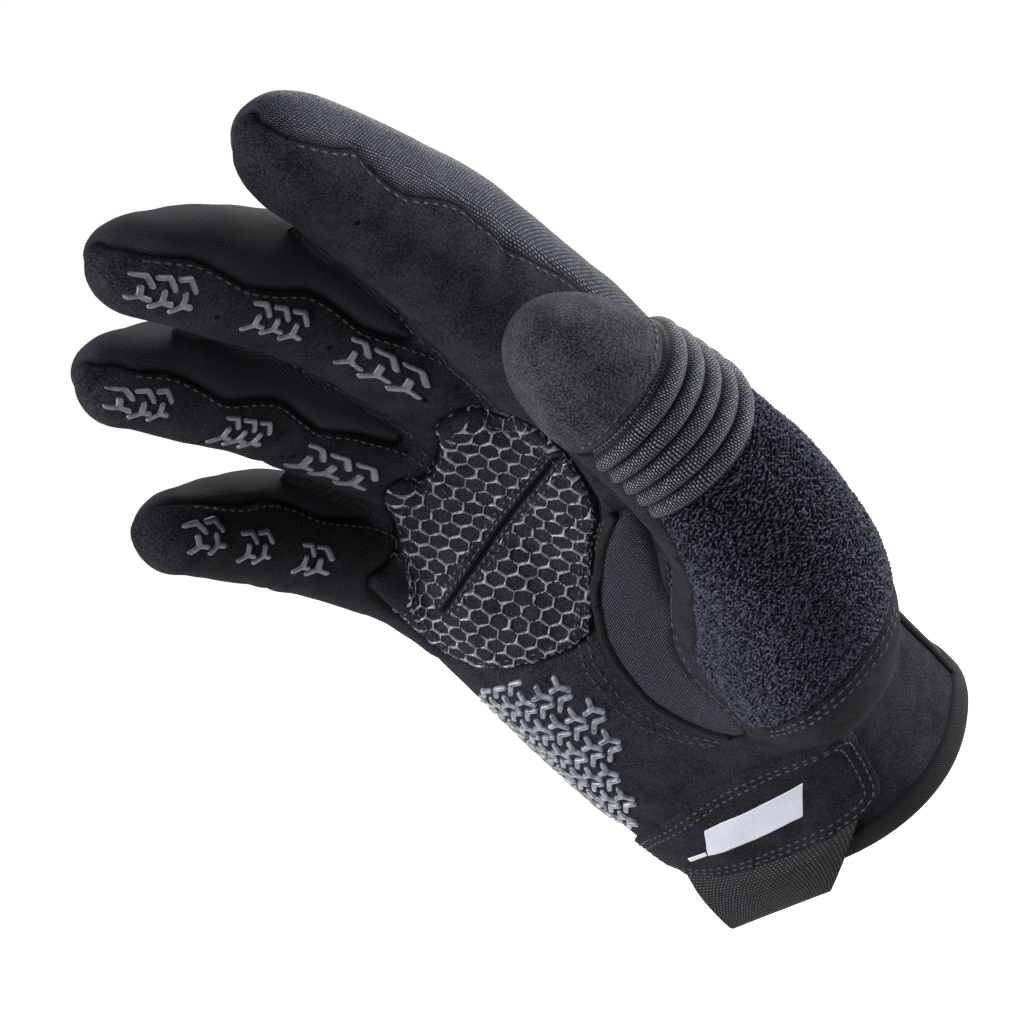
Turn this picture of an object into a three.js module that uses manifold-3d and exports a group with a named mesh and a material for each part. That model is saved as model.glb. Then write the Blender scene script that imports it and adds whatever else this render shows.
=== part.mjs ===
// A right-hand tactical work glove in the shape of a relaxed hand, standing on its cuff.
// Millimetres. +Z runs from the cuff to the fingertips, -Y is the palm side and +X the thumb side.
// The origin is the middle of the opening that the wrist goes through.
import * as THREE from "three";
import { mergeVertices } from "three/addons/utils/BufferGeometryUtils.js";
import Module from "manifold-3d";

const wasm = await Module();
wasm.setup();

// Driving dimensions.
const wall = 1.6; // shell cloth and lining together
const seamGap = 0.3; // left between two pieces that are sewn to each other
const roundness = 2.3; // superellipse exponent of every cross-section
const printHeight = 0.9; // thickness of a patch that lies on the shell
const bindingCloth = 1.1;
const bindingWidth = 3.2;
const bindingDrop = 1.5; // how far the binding hangs below the edge of the cuff
const strapLift = 0.6; // how much thicker the strap is than a print
const nameThickness = 0.5;
const ribCount = 5;
const ribHeight = 1.1;
const ribSink = 0.3; // how deep the valleys between the ribs lie
const ribInset = 2; // degrees kept clear at either end of the ribs

// Fingers: the knuckle's place, the three bones, how far each joint bends, the lean towards the
// thumb, the twist towards the thumb, and the half widths at knuckle, middle joint, end joint and pad.
const fingers = [
  { name: "index", x: 32.6, y: -3.4, z: 119.3, bones: [44.6, 25.8, 26.2], bends: [7.7, 8.6, 6.5],
    lean: 2.1, twist: -0.5, girths: [15.0, 13.3, 11.0, 9.6] },
  { name: "middle", x: 11.1, y: -0.3, z: 122.0, bones: [48.6, 30.7, 26.3], bends: [17.6, 13.4, 9.5],
    lean: 0.6, twist: -0.8, girths: [13.6, 12.4, 10.5, 8.5] },
  { name: "ring", x: -12.3, y: -0.4, z: 113.3, bones: [45.6, 28.7, 26.0], bends: [22.1, 12.6, 8.9],
    lean: -1.0, twist: 7.1, girths: [13.0, 12.0, 10.3, 8.3] },
  { name: "pinky", x: -33.4, y: -8.4, z: 101.0, bones: [35.7, 20.8, 22.6], bends: [27.8, 12.1, 7.2],
    lean: -5.6, twist: 17.0, girths: [12.0, 11.0, 9.4, 7.8] },
];
const rootLength = 34; // how far a finger's tube runs back into the hand from its knuckle
const fingerShape = { side: 0.93, front: 1.03, back: 1.0 }; // of the half width in the table
const fingerDome = 3.45;
const tongue = { reach: 0.05, drawnIn: 14 }; // stations and degrees at the end of the back cloth

// Where the back cloth of a finger starts on the thumb side and on the little-finger side, in
// degrees from the middle of the pad, at stations that count the joints.
const fingerSeams = {
  index: [[1, 92, -85], [1.7, 89, -82], [2, 81, -80], [2.4, 85, -84], [2.7, 80, -80],
    [3.05, 72, -74], [3.4, 86, -84], [3.8, 74, -76]],
  middle: [[1, 68, -78], [1.6, 60, -76], [2, 49, -70], [2.45, 66, -76], [2.9, 60, -70],
    [3.2, 68, -72], [3.5, 83, -80], [3.8, 90, -84]],
  ring: [[1, 56, -80], [1.65, 48, -78], [2.05, 36, -72], [2.5, 54, -76], [2.95, 49, -72],
    [3.2, 62, -74], [3.5, 78, -80], [3.8, 92, -84]],
  pinky: [[1, 80, -62], [1.75, 79, -62], [2.1, 77, -60], [2.5, 88, -64], [2.9, 90, -64],
    [3.2, 93, -66], [3.5, 101, -70], [3.7, 116, -76]],
};

// The thumb's joints, and its half widths at them.
const thumbJoints = [[8, -2, 34], [27.9, -15.2, 51.5], [53.0, -27.4, 90.6], [59.7, -32.7, 126.0],
  [53.9, -34.1, 161.5]];
const thumbPad = new THREE.Vector3(-0.825, -0.5, -0.26); // the way the thumb's pad faces
const thumbSections = [
  { station: 0, side: 8, front: 8, back: 8 },
  { station: 0.6, side: 15, front: 13.5, back: 14 },
  { station: 1, side: 20.5, front: 17.5, back: 19 },
  { station: 1.4, side: 21.5, front: 18.5, back: 20 },
  { station: 2, side: 18, front: 16.5, back: 17.5 },
  { station: 3, side: 14, front: 13.5, back: 13.6 },
  { station: 3.55, side: 13, front: 12.5, back: 12 },
  { station: 4, side: 12, front: 11.5, back: 10.5 },
];
const thumbDome = 3.5;
const capSeam = 3.42;
const ribSeam = 2.97;
// The suede's edge against the towelling, by station, in degrees from the pad.
const thumbEdge = [
  { station: 0, angle: 30 }, { station: 1.15, angle: 14 }, { station: 1.45, angle: -12 },
  { station: 1.95, angle: -4 }, { station: 2.4, angle: 14 }, { station: 2.65, angle: 28 },
  { station: 2.97, angle: 44 }, { station: 4, angle: 48 },
];
const thumbInnerEdge = -75; // the same edge on the side that faces the index finger
const outsideSpan = [0.9, 3.45]; // the stations that edge is cut between
// The low seam of the towelling, by angle round the thumb.
const towelSeam = [
  { angle: -180, station: 1.6 }, { angle: -75, station: 1.3 }, { angle: 0, station: 1.05 },
  { angle: 20, station: 1.17 }, { angle: 47, station: 1.41 }, { angle: 72, station: 1.54 },
  { angle: 95, station: 1.62 }, { angle: 120, station: 1.65 }, { angle: 180, station: 1.6 },
];

// The hand: cross-sections from the cuff to the crotches of the fingers.
const handSections = [
  { height: 0, x: -4.5, y: 3.5, side: 39.5, front: 30, back: 26.5 },
  { height: 18, x: -4.5, y: 3.5, side: 39.5, front: 31, back: 26 },
  { height: 36, x: -4, y: 2.5, side: 40, front: 30.5, back: 24 },
  { height: 55, x: -2.5, y: 1, side: 42, front: 28.5, back: 21 },
  { height: 75, x: -1.5, y: 0.5, side: 45, front: 26, back: 18.5 },
  { height: 95, x: -0.5, y: 0, side: 47.5, front: 22.5, back: 17.5 },
  { height: 112, x: 0, y: -1, side: 48, front: 18.5, back: 16 },
  { height: 126, x: 0, y: -3, side: 45.5, front: 14.5, back: 13 },
  { height: 135, x: 0, y: -5, side: 40, front: 10.5, back: 8.5 },
  { height: 139, x: 0, y: -6, side: 34, front: 5, back: 4 },
];
const knuckleLine = { peakX: 15, drop: 0.0095 }; // the crotches fall away from the middle finger
const palmHollow = { x: 4, height: 88, rise: 5.5, wide: 18, tall: 34 };
const heelSwell = { x: -26, height: 36, rise: -3.0, wide: 16, tall: 28 };
// Where the back of the hand is sewn to the palm: how far back the seam lies on either side.
const sideSeam = [
  { height: -20, thumbSide: 19, littleSide: -1 },
  { height: 60, thumbSide: 17, littleSide: -1 },
  { height: 92, thumbSide: 5, littleSide: -2 },
  { height: 125, thumbSide: -4, littleSide: -3 },
  { height: 150, thumbSide: -8, littleSide: -6 },
];

// Patches on the hand: their edges in degrees from the middle of the palm at a height.
const palmGrip = [
  { height: 77, littleSide: -40, thumbSide: -2 }, { height: 84, littleSide: -45, thumbSide: 5 },
  { height: 91, littleSide: -46, thumbSide: 9 }, { height: 97, littleSide: -46, thumbSide: 14 },
  { height: 104, littleSide: -44, thumbSide: 25 }, { height: 112, littleSide: -40, thumbSide: 29 },
  { height: 120, littleSide: -34, thumbSide: 31 }, { height: 127, littleSide: -28, thumbSide: 33 },
  { height: 132, littleSide: -18, thumbSide: 32 },
];
const gripSlit = { from: [-23, 97], to: [25, 120], width: 1.1 }; // x and height of its ends
const heelGrip = [
  { height: 23, littleSide: -54, thumbSide: -32 }, { height: 33, littleSide: -58, thumbSide: -20 },
  { height: 46, littleSide: -60, thumbSide: -10 }, { height: 60, littleSide: -58, thumbSide: -6 },
  { height: 71, littleSide: -54, thumbSide: -8 }, { height: 75, littleSide: -44, thumbSide: -22 },
];
const gusset = [
  { height: 45, littleSide: 18, thumbSide: 22 }, { height: 49, littleSide: 11, thumbSide: 22 },
  { height: 56, littleSide: 5, thumbSide: 21 }, { height: 62, littleSide: 2.5, thumbSide: 19 },
  { height: 73, littleSide: 2, thumbSide: 18 }, { height: 82, littleSide: 5, thumbSide: 20 },
  { height: 93, littleSide: 14, thumbSide: 28 }, { height: 102, littleSide: 27, thumbSide: 32 },
];
// The cord along the gusset, beside its edge on the little finger's side.
const piping = { width: 2.2, beside: 2.6, cut: 1 }; // millimetres, degrees, and room left round it
// The strap of the pull tab, in columns from the little finger's side to the thumb's side.
const pullStrap = [
  { angle: -48, low: 3.5, high: 15 }, { angle: -38, low: 4.5, high: 19.5 },
  { angle: -27, low: 5, high: 24 }, { angle: -2, low: 5.5, high: 30 },
  { angle: 16, low: 6.5, high: 32 }, { angle: 34, low: 8, high: 31 }, { angle: 44, low: 10, high: 28 },
];
const nameBar = [
  { angle: -13, low: 12, high: 20.5 }, { angle: 22, low: 15, high: 23.5 },
];
// The folded webbing loop below the strap: the ends of its fold, and the curve of its upper edge.
const pullLoop = {
  fold: [[-24, -31.8, -7.8], [4.5, -31.5, -3.5]],
  upper: [[-28, -27.6, 3.2], [-6, -33.6, 4.4], [16.5, -27.3, 6.8]],
};
// Its front and back faces and the slit between its layers, in millimetres behind that sheet.
const loopFaces = { front: -1, slitFront: 0, slitBack: 0.6, back: 1.6 };
const foldShare = 0.12; // of the loop's height that is closed at the fold

// Cutters reach past the shell on both sides, and their skins are never seen.
const reach = { out: 3, under: 4, slack: 0.2, cap: 6, sleeve: 2, gusset: 1.5, band: 3, wide: 90 };
// Degrees that a seam's gap takes on the fingers and the thumb, and a millimetre on the hand.
const degreesPerGap = { finger: 1.4, thumb: 0.8, hand: 1.6, palm: 1.7 };
const stationGap = 0.009; // a seam's gap along the thumb

const radians = THREE.MathUtils.degToRad;
const signedPower = (value, power) => Math.sign(value) * Math.abs(value) ** power;
const stepsBetween = (from, to, count) =>
  Array.from({ length: count + 1 }, (_, i) => from + ((to - from) * i) / count);

// A smooth curve through one column of a table, or straight lines between its rows.
function column(rows, at, key, smooth = true) {
  const slope = (i) => {
    const a = rows[Math.max(0, i - 1)];
    const b = rows[Math.min(rows.length - 1, i + 1)];
    return (b[key] - a[key]) / (b[at] - a[at]);
  };
  return (s) => {
    let i = 0;
    while (i < rows.length - 2 && s > rows[i + 1][at]) i++;
    const [a, b] = [rows[i], rows[i + 1]];
    const step = b[at] - a[at];
    const t = THREE.MathUtils.clamp((s - a[at]) / step, 0, 1);
    if (!smooth) return a[key] + (b[key] - a[key]) * t;
    const [t2, t3] = [t * t, t * t * t];
    return (2 * t3 - 3 * t2 + 1) * a[key] + (t3 - 2 * t2 + t) * step * slope(i)
      + (3 * t2 - 2 * t3) * b[key] + (t3 - t2) * step * slope(i + 1);
  };
}

// A tube round a bent centre line. Stations count its joints, and the last joint is the tip of a dome.
// Angle 0 faces the pad, and positive angles turn towards the thumb side.
function limb(points, pad, rows, domeStart) {
  const spine = new THREE.CatmullRomCurve3(points, false, "catmullrom", 0.5);
  const last = points.length - 1;
  const side = column(rows, "station", "side");
  const front = column(rows, "station", "front");
  const back = column(rows, "station", "back");
  const power = 2 / roundness;
  return (station, angle, inset = 0) => {
    const centre = spine.getPoint(station / last);
    const along = spine.getTangent(station / last).normalize();
    const palmar = pad.clone().addScaledVector(along, -pad.dot(along)).normalize();
    const across = along.clone().cross(palmar);
    const t = Math.max(0, (station - domeStart) / (last - domeStart));
    const dome = Math.sqrt(Math.max(0, 1 - t ** 2.4));
    const depth = Math.cos(angle) > 0 ? front(station) : back(station);
    return centre
      .addScaledVector(palmar, dome * (depth - inset) * signedPower(Math.cos(angle), power))
      .addScaledVector(across, dome * (side(station) - inset) * signedPower(Math.sin(angle), power))
      .addScaledVector(along, -inset * t ** 3);
  };
}

function fingerLimb(row) {
  const [lean, twist] = [radians(row.lean), radians(row.twist)];
  const straight = new THREE.Vector3(Math.sin(lean), 0, Math.cos(lean));
  const thumbward = new THREE.Vector3(Math.cos(lean), 0, -Math.sin(lean));
  const pad = new THREE.Vector3(0, -Math.cos(twist), 0).addScaledVector(thumbward, Math.sin(twist));
  const knuckle = new THREE.Vector3(row.x, row.y, row.z);
  const points = [knuckle.clone().addScaledVector(straight, -rootLength), knuckle];
  let bend = 0;
  row.bones.forEach((bone, i) => {
    bend += radians(row.bends[i]);
    points.push(points.at(-1).clone()
      .addScaledVector(straight, bone * Math.cos(bend))
      .addScaledVector(pad, bone * Math.sin(bend)));
  });
  const [knuckleGirth, middleGirth, endGirth, padGirth] = row.girths;
  const rows = [[0, knuckleGirth * 0.9], [1, knuckleGirth], [2, middleGirth], [3, endGirth],
    [3.5, padGirth], [4, padGirth * 0.96]].map(([station, girth]) => ({
    station,
    side: girth * fingerShape.side,
    front: girth * fingerShape.front,
    back: girth * fingerShape.back,
  }));
  return limb(points, pad, rows, fingerDome);
}

// The hand's own surface: angle 0 faces the palm and positive angles turn towards the thumb.
const handColumns = Object.fromEntries(
  ["x", "y", "side", "front", "back"].map((key) => [key, column(handSections, "height", key)]));
function handSurface(height, angle, inset = 0) {
  const at = (key) => handColumns[key](height);
  const power = 2 / roundness;
  const depth = Math.cos(angle) > 0 ? at("front") : at("back");
  const x = at("x") + (at("side") - inset) * signedPower(Math.sin(angle), power);
  let y = at("y") - (depth - inset) * signedPower(Math.cos(angle), power);
  const palmShare = THREE.MathUtils.clamp(Math.cos(angle) * 2, 0, 1);
  for (const swell of [palmHollow, heelSwell]) {
    y += palmShare * swell.rise * Math.exp(-(((x - swell.x) / swell.wide) ** 2)
      - ((height - swell.height) / swell.tall) ** 2);
  }
  const share = Math.max(0, height) / handSections.at(-1).height;
  const z = height - inset * Math.max(0, (share - 0.94) / 0.06)
    - share ** 3 * knuckleLine.drop * (x - knuckleLine.peakX) ** 2;
  return new THREE.Vector3(x, y, z);
}

// A closed solid from a triangle list.
function solidFrom(positions) {
  const geometry = new THREE.BufferGeometry()
    .setAttribute("position", new THREE.Float32BufferAttribute(positions, 3));
  const merged = mergeVertices(geometry, 1e-3);
  const triVerts = [];
  for (let i = 0; i < merged.index.count; i += 3) {
    const [a, b, c] = [0, 1, 2].map((k) => merged.index.getX(i + k));
    if (a !== b && b !== c && c !== a) triVerts.push(a, b, c);
  }
  return new wasm.Manifold(new wasm.Mesh({
    numProp: 3,
    vertProperties: new Float32Array(merged.attributes.position.array),
    triVerts: new Uint32Array(triVerts),
  }));
}

function pushQuad(list, a, b, c, d) {
  for (const p of [a, b, c, a, c, d]) list.push(p.x, p.y, p.z);
}

// A piece of cloth on a surface. Its place function turns shares along and across into a station
// and an angle, and its two skins lie at two insets.
function patch(surface, along, across, place, top, under) {
  const grid = (inset) => stepsBetween(0, 1, along).map((u) => stepsBetween(0, 1, across).map((v) => {
    const [station, angle] = place(u, v);
    return surface(station, angle, inset);
  }));
  const [a, b] = [grid(top), grid(under)];
  const list = [];
  for (let i = 0; i < along; i++) {
    for (let j = 0; j < across; j++) {
      pushQuad(list, a[i][j], a[i][j + 1], a[i + 1][j + 1], a[i + 1][j]);
      pushQuad(list, b[i][j], b[i + 1][j], b[i + 1][j + 1], b[i][j + 1]);
    }
    pushQuad(list, a[i][0], a[i + 1][0], b[i + 1][0], b[i][0]);
    pushQuad(list, a[i][across], b[i][across], b[i + 1][across], a[i + 1][across]);
  }
  for (let j = 0; j < across; j++) {
    pushQuad(list, a[0][j], b[0][j], b[0][j + 1], a[0][j + 1]);
    pushQuad(list, a[along][j], a[along][j + 1], b[along][j + 1], b[along][j]);
  }
  return solidFrom(list);
}

// The filled inside of a whole surface, grown by some millimetres. A ring is a station, or a
// function that gives the station for an angle.
function filled(surface, rings, columns, grow) {
  const grid = rings.map((ring) => Array.from({ length: columns }, (_, j) => {
    const angle = (2 * Math.PI * j) / columns;
    const turned = angle > Math.PI ? angle - 2 * Math.PI : angle;
    return surface(typeof ring === "function" ? ring(turned) : ring, angle, -grow);
  }));
  const middle = (row) => row.reduce((sum, p) => sum.add(p), new THREE.Vector3())
    .divideScalar(row.length);
  const next = (j) => (j + 1) % columns;
  const list = [];
  for (let i = 0; i < grid.length - 1; i++) {
    for (let j = 0; j < columns; j++) {
      pushQuad(list, grid[i][j], grid[i][next(j)], grid[i + 1][next(j)], grid[i + 1][j]);
    }
  }
  const [first, last] = [grid[0], grid.at(-1)];
  const [start, end] = [middle(first), middle(last)];
  for (let j = 0; j < columns; j++) {
    for (const p of [first[j], start, first[next(j)]]) list.push(p.x, p.y, p.z);
    for (const p of [last[j], last[next(j)], end]) list.push(p.x, p.y, p.z);
  }
  return solidFrom(list);
}

// Everything behind the side seam of the hand.
function backHalf(shift) {
  const { wide } = reach;
  const corners = sideSeam.map((row) => [
    new THREE.Vector3(wide, row.thumbSide + shift, row.height),
    new THREE.Vector3(wide, wide, row.height),
    new THREE.Vector3(-wide, wide, row.height),
    new THREE.Vector3(-wide, row.littleSide + shift, row.height),
  ]);
  const list = [];
  for (let i = 0; i < corners.length - 1; i++) {
    for (let j = 0; j < 4; j++) {
      const next = (j + 1) % 4;
      pushQuad(list, corners[i][j], corners[i][next], corners[i + 1][next], corners[i + 1][j]);
    }
  }
  const [low, high] = [corners[0], corners.at(-1)];
  pushQuad(list, low[0], low[3], low[2], low[1]);
  pushQuad(list, high[0], high[1], high[2], high[3]);
  return solidFrom(list);
}

// The corners of the largest body in a solid. Trimming leaves crumbs at the seams, which are dropped.
function largestBody(solid) {
  const mesh = solid.getMesh();
  const parent = Array.from({ length: mesh.numVert }, (_, v) => v);
  const root = (v) => {
    while (parent[v] !== v) v = parent[v] = parent[parent[v]];
    return v;
  };
  for (let i = 0; i < mesh.triVerts.length; i += 3) {
    const [a, b, c] = mesh.triVerts.slice(i, i + 3);
    parent[root(b)] = root(a);
    parent[root(c)] = root(a);
  }
  const counts = new Map();
  for (const v of mesh.triVerts) counts.set(root(v), (counts.get(root(v)) ?? 0) + 1);
  const largest = [...counts].sort((a, b) => b[1] - a[1])[0][0];
  return [...mesh.triVerts].filter((v) => root(v) === largest)
    .flatMap((v) => [...mesh.vertProperties.slice(v * mesh.numProp, v * mesh.numProp + 3)]);
}

const group = new THREE.Group();
function show(name, solid, colour, roughness) {
  const positions = largestBody(solid);
  const geometry = new THREE.BufferGeometry()
    .setAttribute("position", new THREE.Float32BufferAttribute(positions, 3));
  const made = new THREE.Mesh(geometry,
    new THREE.MeshStandardMaterial({ color: colour, roughness, metalness: 0 }));
  made.name = name;
  group.add(made);
}

// Whole limbs, solid to their outsides, and the hollows inside them.
const handColumnsRound = 24;
const hollowColumnsRound = 16;
const handHeights = handSections.map((row) => row.height);
const belowCuff = -6;
const handFull = filled(handSurface, handHeights, handColumnsRound, 0);
const handGrown = filled(handSurface, [belowCuff, ...handHeights], handColumnsRound, seamGap)
  .add(handFull);
const handHollow = filled(handSurface, [belowCuff, 0, 36, 75, 112, 126, 135, 139],
  hollowColumnsRound, -wall);

const fingerStations = [0.5, 1.2, 1.7, 2.1, 2.55, 3, 3.45, 3.72, 3.89, 3.98];
const fingerHollowStations = [0.4, 1.2, 2.1, 3, 3.5, 3.85];
const [fingerColumns, fingerHollowColumns] = [12, 8];
const limbs = fingers.map((row) => {
  const surface = fingerLimb(row);
  const full = filled(surface, fingerStations, fingerColumns, 0);
  return {
    name: row.name,
    surface,
    full,
    grown: filled(surface, fingerStations, fingerColumns, seamGap).add(full),
    hollow: filled(surface, fingerHollowStations, fingerHollowColumns, -wall),
  };
});

const thumbSurface = limb(thumbJoints.map((p) => new THREE.Vector3(...p)), thumbPad,
  thumbSections, thumbDome);
const thumbStations = [0.2, 0.6, 1, 1.35, 1.7, 2.1, 2.55, 3, 3.5, 3.74, 3.9, 3.98];
const thumbHollowStations = [0.1, 0.6, 1, 1.7, 2.5, 3.2, 3.6, 3.88];
const [thumbColumns, thumbHollowColumns] = [16, 10];
const thumbFull = filled(thumbSurface, thumbStations, thumbColumns, 0);
const thumbGrown = filled(thumbSurface, thumbStations, thumbColumns, seamGap).add(thumbFull);
const thumbHollow = filled(thumbSurface, thumbHollowStations, thumbHollowColumns, -wall);

// The four fingers: suede round the pad and the tip, cloth over the back.
const suedeColour = 0x1b1b1d;
const fingerColours = { index: 0x30313a, middle: 0x17181b, ring: 0x17181b, pinky: 0x17181b };
limbs.forEach(({ name, surface, full, hollow }, i) => {
  let shell = full.subtract(hollow).subtract(handGrown);
  for (const other of limbs.slice(0, i)) shell = shell.subtract(other.grown);
  const rows = fingerSeams[name].map(([station, thumbSide, littleSide]) =>
    ({ station, thumbSide, littleSide }));
  const thumbSide = column(rows, "station", "thumbSide");
  const littleSide = column(rows, "station", "littleSide");
  const tongueEnd = rows.at(-1).station + tongue.reach;
  const backPlace = (gap) => (u, v) => {
    const row = Math.round(u * rows.length);
    const atEnd = row === rows.length;
    const station = atEnd ? tongueEnd + gap * stationGap : rows[row].station;
    const slack = (atEnd ? -tongue.drawnIn : 0) + gap * degreesPerGap.finger;
    const from = thumbSide(station) - slack;
    const to = 360 + littleSide(station) + slack;
    return [station, radians(from + (to - from) * v)];
  };
  const backCutter = (gap) => patch(surface, rows.length, 8, backPlace(gap),
    -reach.out - gap * reach.slack, reach.under + gap * reach.slack);
  show(`${name}_back`, shell.intersect(backCutter(0)), fingerColours[name], 0.85);
  show(`${name}_face`, shell.subtract(backCutter(1)), suedeColour, 0.95);
});

// The thumb: a suede cap and front, ribbed cloth over the joint, towelling down to the wrist.
const lowTowel = column(towelSeam, "angle", "station", false);
const towelShift = (grow) => (angle) => lowTowel(THREE.MathUtils.radToDeg(angle)) + grow;
const edgeAngle = column(thumbEdge, "station", "angle", false);
const outsideEdge = (from, to, slack) => (u, v) => {
  const station = from + (to - from) * u;
  const start = edgeAngle(station) - slack;
  return [station, radians(start + (360 + thumbInnerEdge + slack - start) * v)];
};
const fingersGrown = limbs.map((l) => l.grown).reduce((a, b) => a.add(b));
const thumbShell = thumbFull.subtract(thumbHollow);
const thumbFree = thumbShell.subtract(handGrown).subtract(fingersGrown);
const above = (station) => filled(thumbSurface, [station, 3.72, 3.98], thumbColumns, reach.cap);
show("thumb_cap", thumbFree.intersect(above(capSeam + stationGap / 2)), suedeColour, 0.95);
const belowCap = thumbFree.subtract(above(capSeam - stationGap / 2));
const aboveTowelSeam = (gap, skin) => filled(thumbSurface,
  [towelShift(gap), 2, 2.4, 2.8, 3.2, 3.6], thumbColumns, skin);
const outsideCutter = (slack) => patch(thumbSurface, 10, 10, outsideEdge(...outsideSpan, slack),
  -reach.out, reach.under);
const sleeve = belowCap.intersect(aboveTowelSeam(stationGap / 2, reach.sleeve));
show("thumb_front", sleeve.subtract(outsideCutter(degreesPerGap.thumb)), suedeColour, 0.95);
const towel = sleeve.intersect(outsideCutter(-degreesPerGap.thumb));
show("thumb_towel", towel.subtract(above(ribSeam - stationGap)), 0x121318, 1.0);

const ribSurface = (station, angle, inset) => {
  const share = (station - ribSeam) / (capSeam - ribSeam);
  const swell = ribHeight * Math.abs(Math.sin(Math.PI * ribCount * share));
  return thumbSurface(station, angle, inset > 0 ? inset : inset - swell + ribSink);
};
const ribPlace = (u, v) => {
  const station = ribSeam + (capSeam - stationGap - ribSeam) * u;
  const start = edgeAngle(station) + ribInset;
  return [station, radians(start + (360 + thumbInnerEdge - ribInset - start) * v)];
};
show("thumb_ribs", patch(ribSurface, ribCount * 3, 8, ribPlace, 0, wall), 0x25262c, 0.9);

// The hand: suede palm with the suede round the root of the thumb, and a cloth back.
const rows = (table) => ({
  low: table[0].height,
  high: table.at(-1).height,
  little: column(table, "height", "littleSide", false),
  thumb: column(table, "height", "thumbSide", false),
});
const handPatch = (table, along, across, top, under, grow = 0) => {
  const { low, high, little, thumb } = rows(table);
  const slack = grow * degreesPerGap.hand;
  return patch(handSurface, along, across, (u, v) => {
    const height = low - grow + (high - low + 2 * grow) * u;
    const [from, to] = [little(height) - slack, thumb(height) + slack];
    return [height, radians(from + (to - from) * v)];
  }, top, under);
};
let handShell = handFull.subtract(handHollow);
for (const { hollow } of limbs) handShell = handShell.subtract(hollow);
const thumbRoot = thumbShell.subtract(handHollow).subtract(fingersGrown)
  .subtract(aboveTowelSeam(-stationGap / 2, reach.sleeve + reach.slack));
const gussetSolid = handPatch(gusset, 8, 4, 0, wall);
const palmShell = handShell.subtract(backHalf(0)).subtract(thumbHollow)
  .add(thumbRoot)
  .subtract(handPatch(gusset, 8, 4, -reach.gusset, wall + reach.gusset, seamGap));
show("palm_panel", palmShell, suedeColour, 0.95);
show("back_panel", handShell.intersect(backHalf(seamGap)).subtract(thumbGrown), 0x202127, 0.9);
show("thumb_gusset", gussetSolid.subtract(thumbGrown), 0x33353d, 0.9);

// What lies on the shell: grip patches, piping, the pull tab's strap, its name bar and its loop.
const skinTop = -(seamGap + printHeight);
const skinUnder = -seamGap;
const sunk = skinUnder + 2; // the underside before the shell is cut away from it
const limbsGrown = fingersGrown.add(thumbGrown);
const slitCut = (() => {
  const [a, b] = [gripSlit.from, gripSlit.to].map(([x, z]) => new THREE.Vector3(x, 0, z));
  const across = b.clone().sub(a).normalize().cross(new THREE.Vector3(0, 1, 0))
    .multiplyScalar(gripSlit.width / 2);
  const corners = (y) => [a.clone().sub(across), b.clone().sub(across), b.clone().add(across),
    a.clone().add(across)].map((p) => p.setY(y));
  const [near, far] = [corners(-reach.wide), corners(0)];
  const list = [];
  pushQuad(list, near[0], near[1], near[2], near[3]);
  pushQuad(list, far[3], far[2], far[1], far[0]);
  for (let j = 0; j < 4; j++) {
    const next = (j + 1) % 4;
    pushQuad(list, near[next], near[j], far[j], far[next]);
  }
  return solidFrom(list);
})();
const onHand = (solid) => solid.subtract(handGrown).subtract(limbsGrown);
const gussetEdge = column(gusset, "height", "littleSide", false);
const pipingPlace = (grow) => (u, v) => {
  const height = gusset[0].height + (gusset.at(-1).height - gusset[0].height) * u;
  const width = (piping.width + 2 * grow) * degreesPerGap.palm;
  return [height, radians(gussetEdge(height) - piping.beside + (v - 0.5) * width)];
};
const pipingCut = patch(handSurface, 10, 1, pipingPlace(seamGap), skinTop - piping.cut,
  sunk + piping.cut);
const gripSkin = handPatch(palmGrip, 6, 6, skinTop, sunk);
show("palm_grip", onHand(gripSkin).subtract(slitCut).subtract(pipingCut), 0x2b2c30, 0.5);
show("heel_grip", onHand(handPatch(heelGrip, 4, 4, skinTop, sunk)), 0x34353a, 0.4);
const pipingSkin = patch(handSurface, 10, 1, pipingPlace(0), skinTop, sunk);
show("thumb_piping", onHand(pipingSkin), 0x0c0c0d, 0.8);

// A band on the hand that is told in columns from the little finger's side.
const bandPlace = (table) => {
  const low = column(table, "angle", "low");
  const high = column(table, "angle", "high");
  return (u, v) => {
    const angle = table[0].angle + (table.at(-1).angle - table[0].angle) * v;
    return [low(angle) + (high(angle) - low(angle)) * u, radians(angle)];
  };
};
const strapTop = skinTop - strapLift;
const strap = patch(handSurface, 2, 8, bandPlace(pullStrap), strapTop, sunk);
show("pull_strap", onHand(strap), 0x1d1d1f, 0.95);
show("name_bar", patch(handSurface, 1, 5, bandPlace(nameBar), strapTop - seamGap - nameThickness,
  strapTop - seamGap), 0xd5d8e4, 0.6);
const toVector = (corner) => new THREE.Vector3(...corner);
const foldLine = new THREE.LineCurve3(...pullLoop.fold.map(toVector));
const upperEdge = new THREE.QuadraticBezierCurve3(...pullLoop.upper.map(toVector));
const loopSheet = (share, along, inset) => foldLine.getPoint(along)
  .lerp(upperEdge.getPoint(along), share)
  .add(new THREE.Vector3(0, inset, 0));
const loopBody = patch(loopSheet, 2, 8, (u, v) => [u, v], loopFaces.front, loopFaces.back);
const loopSlit = patch(loopSheet, 2, 12, (u, v) => [foldShare + u, v * 1.5 - 0.25],
  loopFaces.slitFront, loopFaces.slitBack);
show("pull_loop", loopBody.subtract(loopSlit), 0x3a3b40, 0.85);

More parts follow.
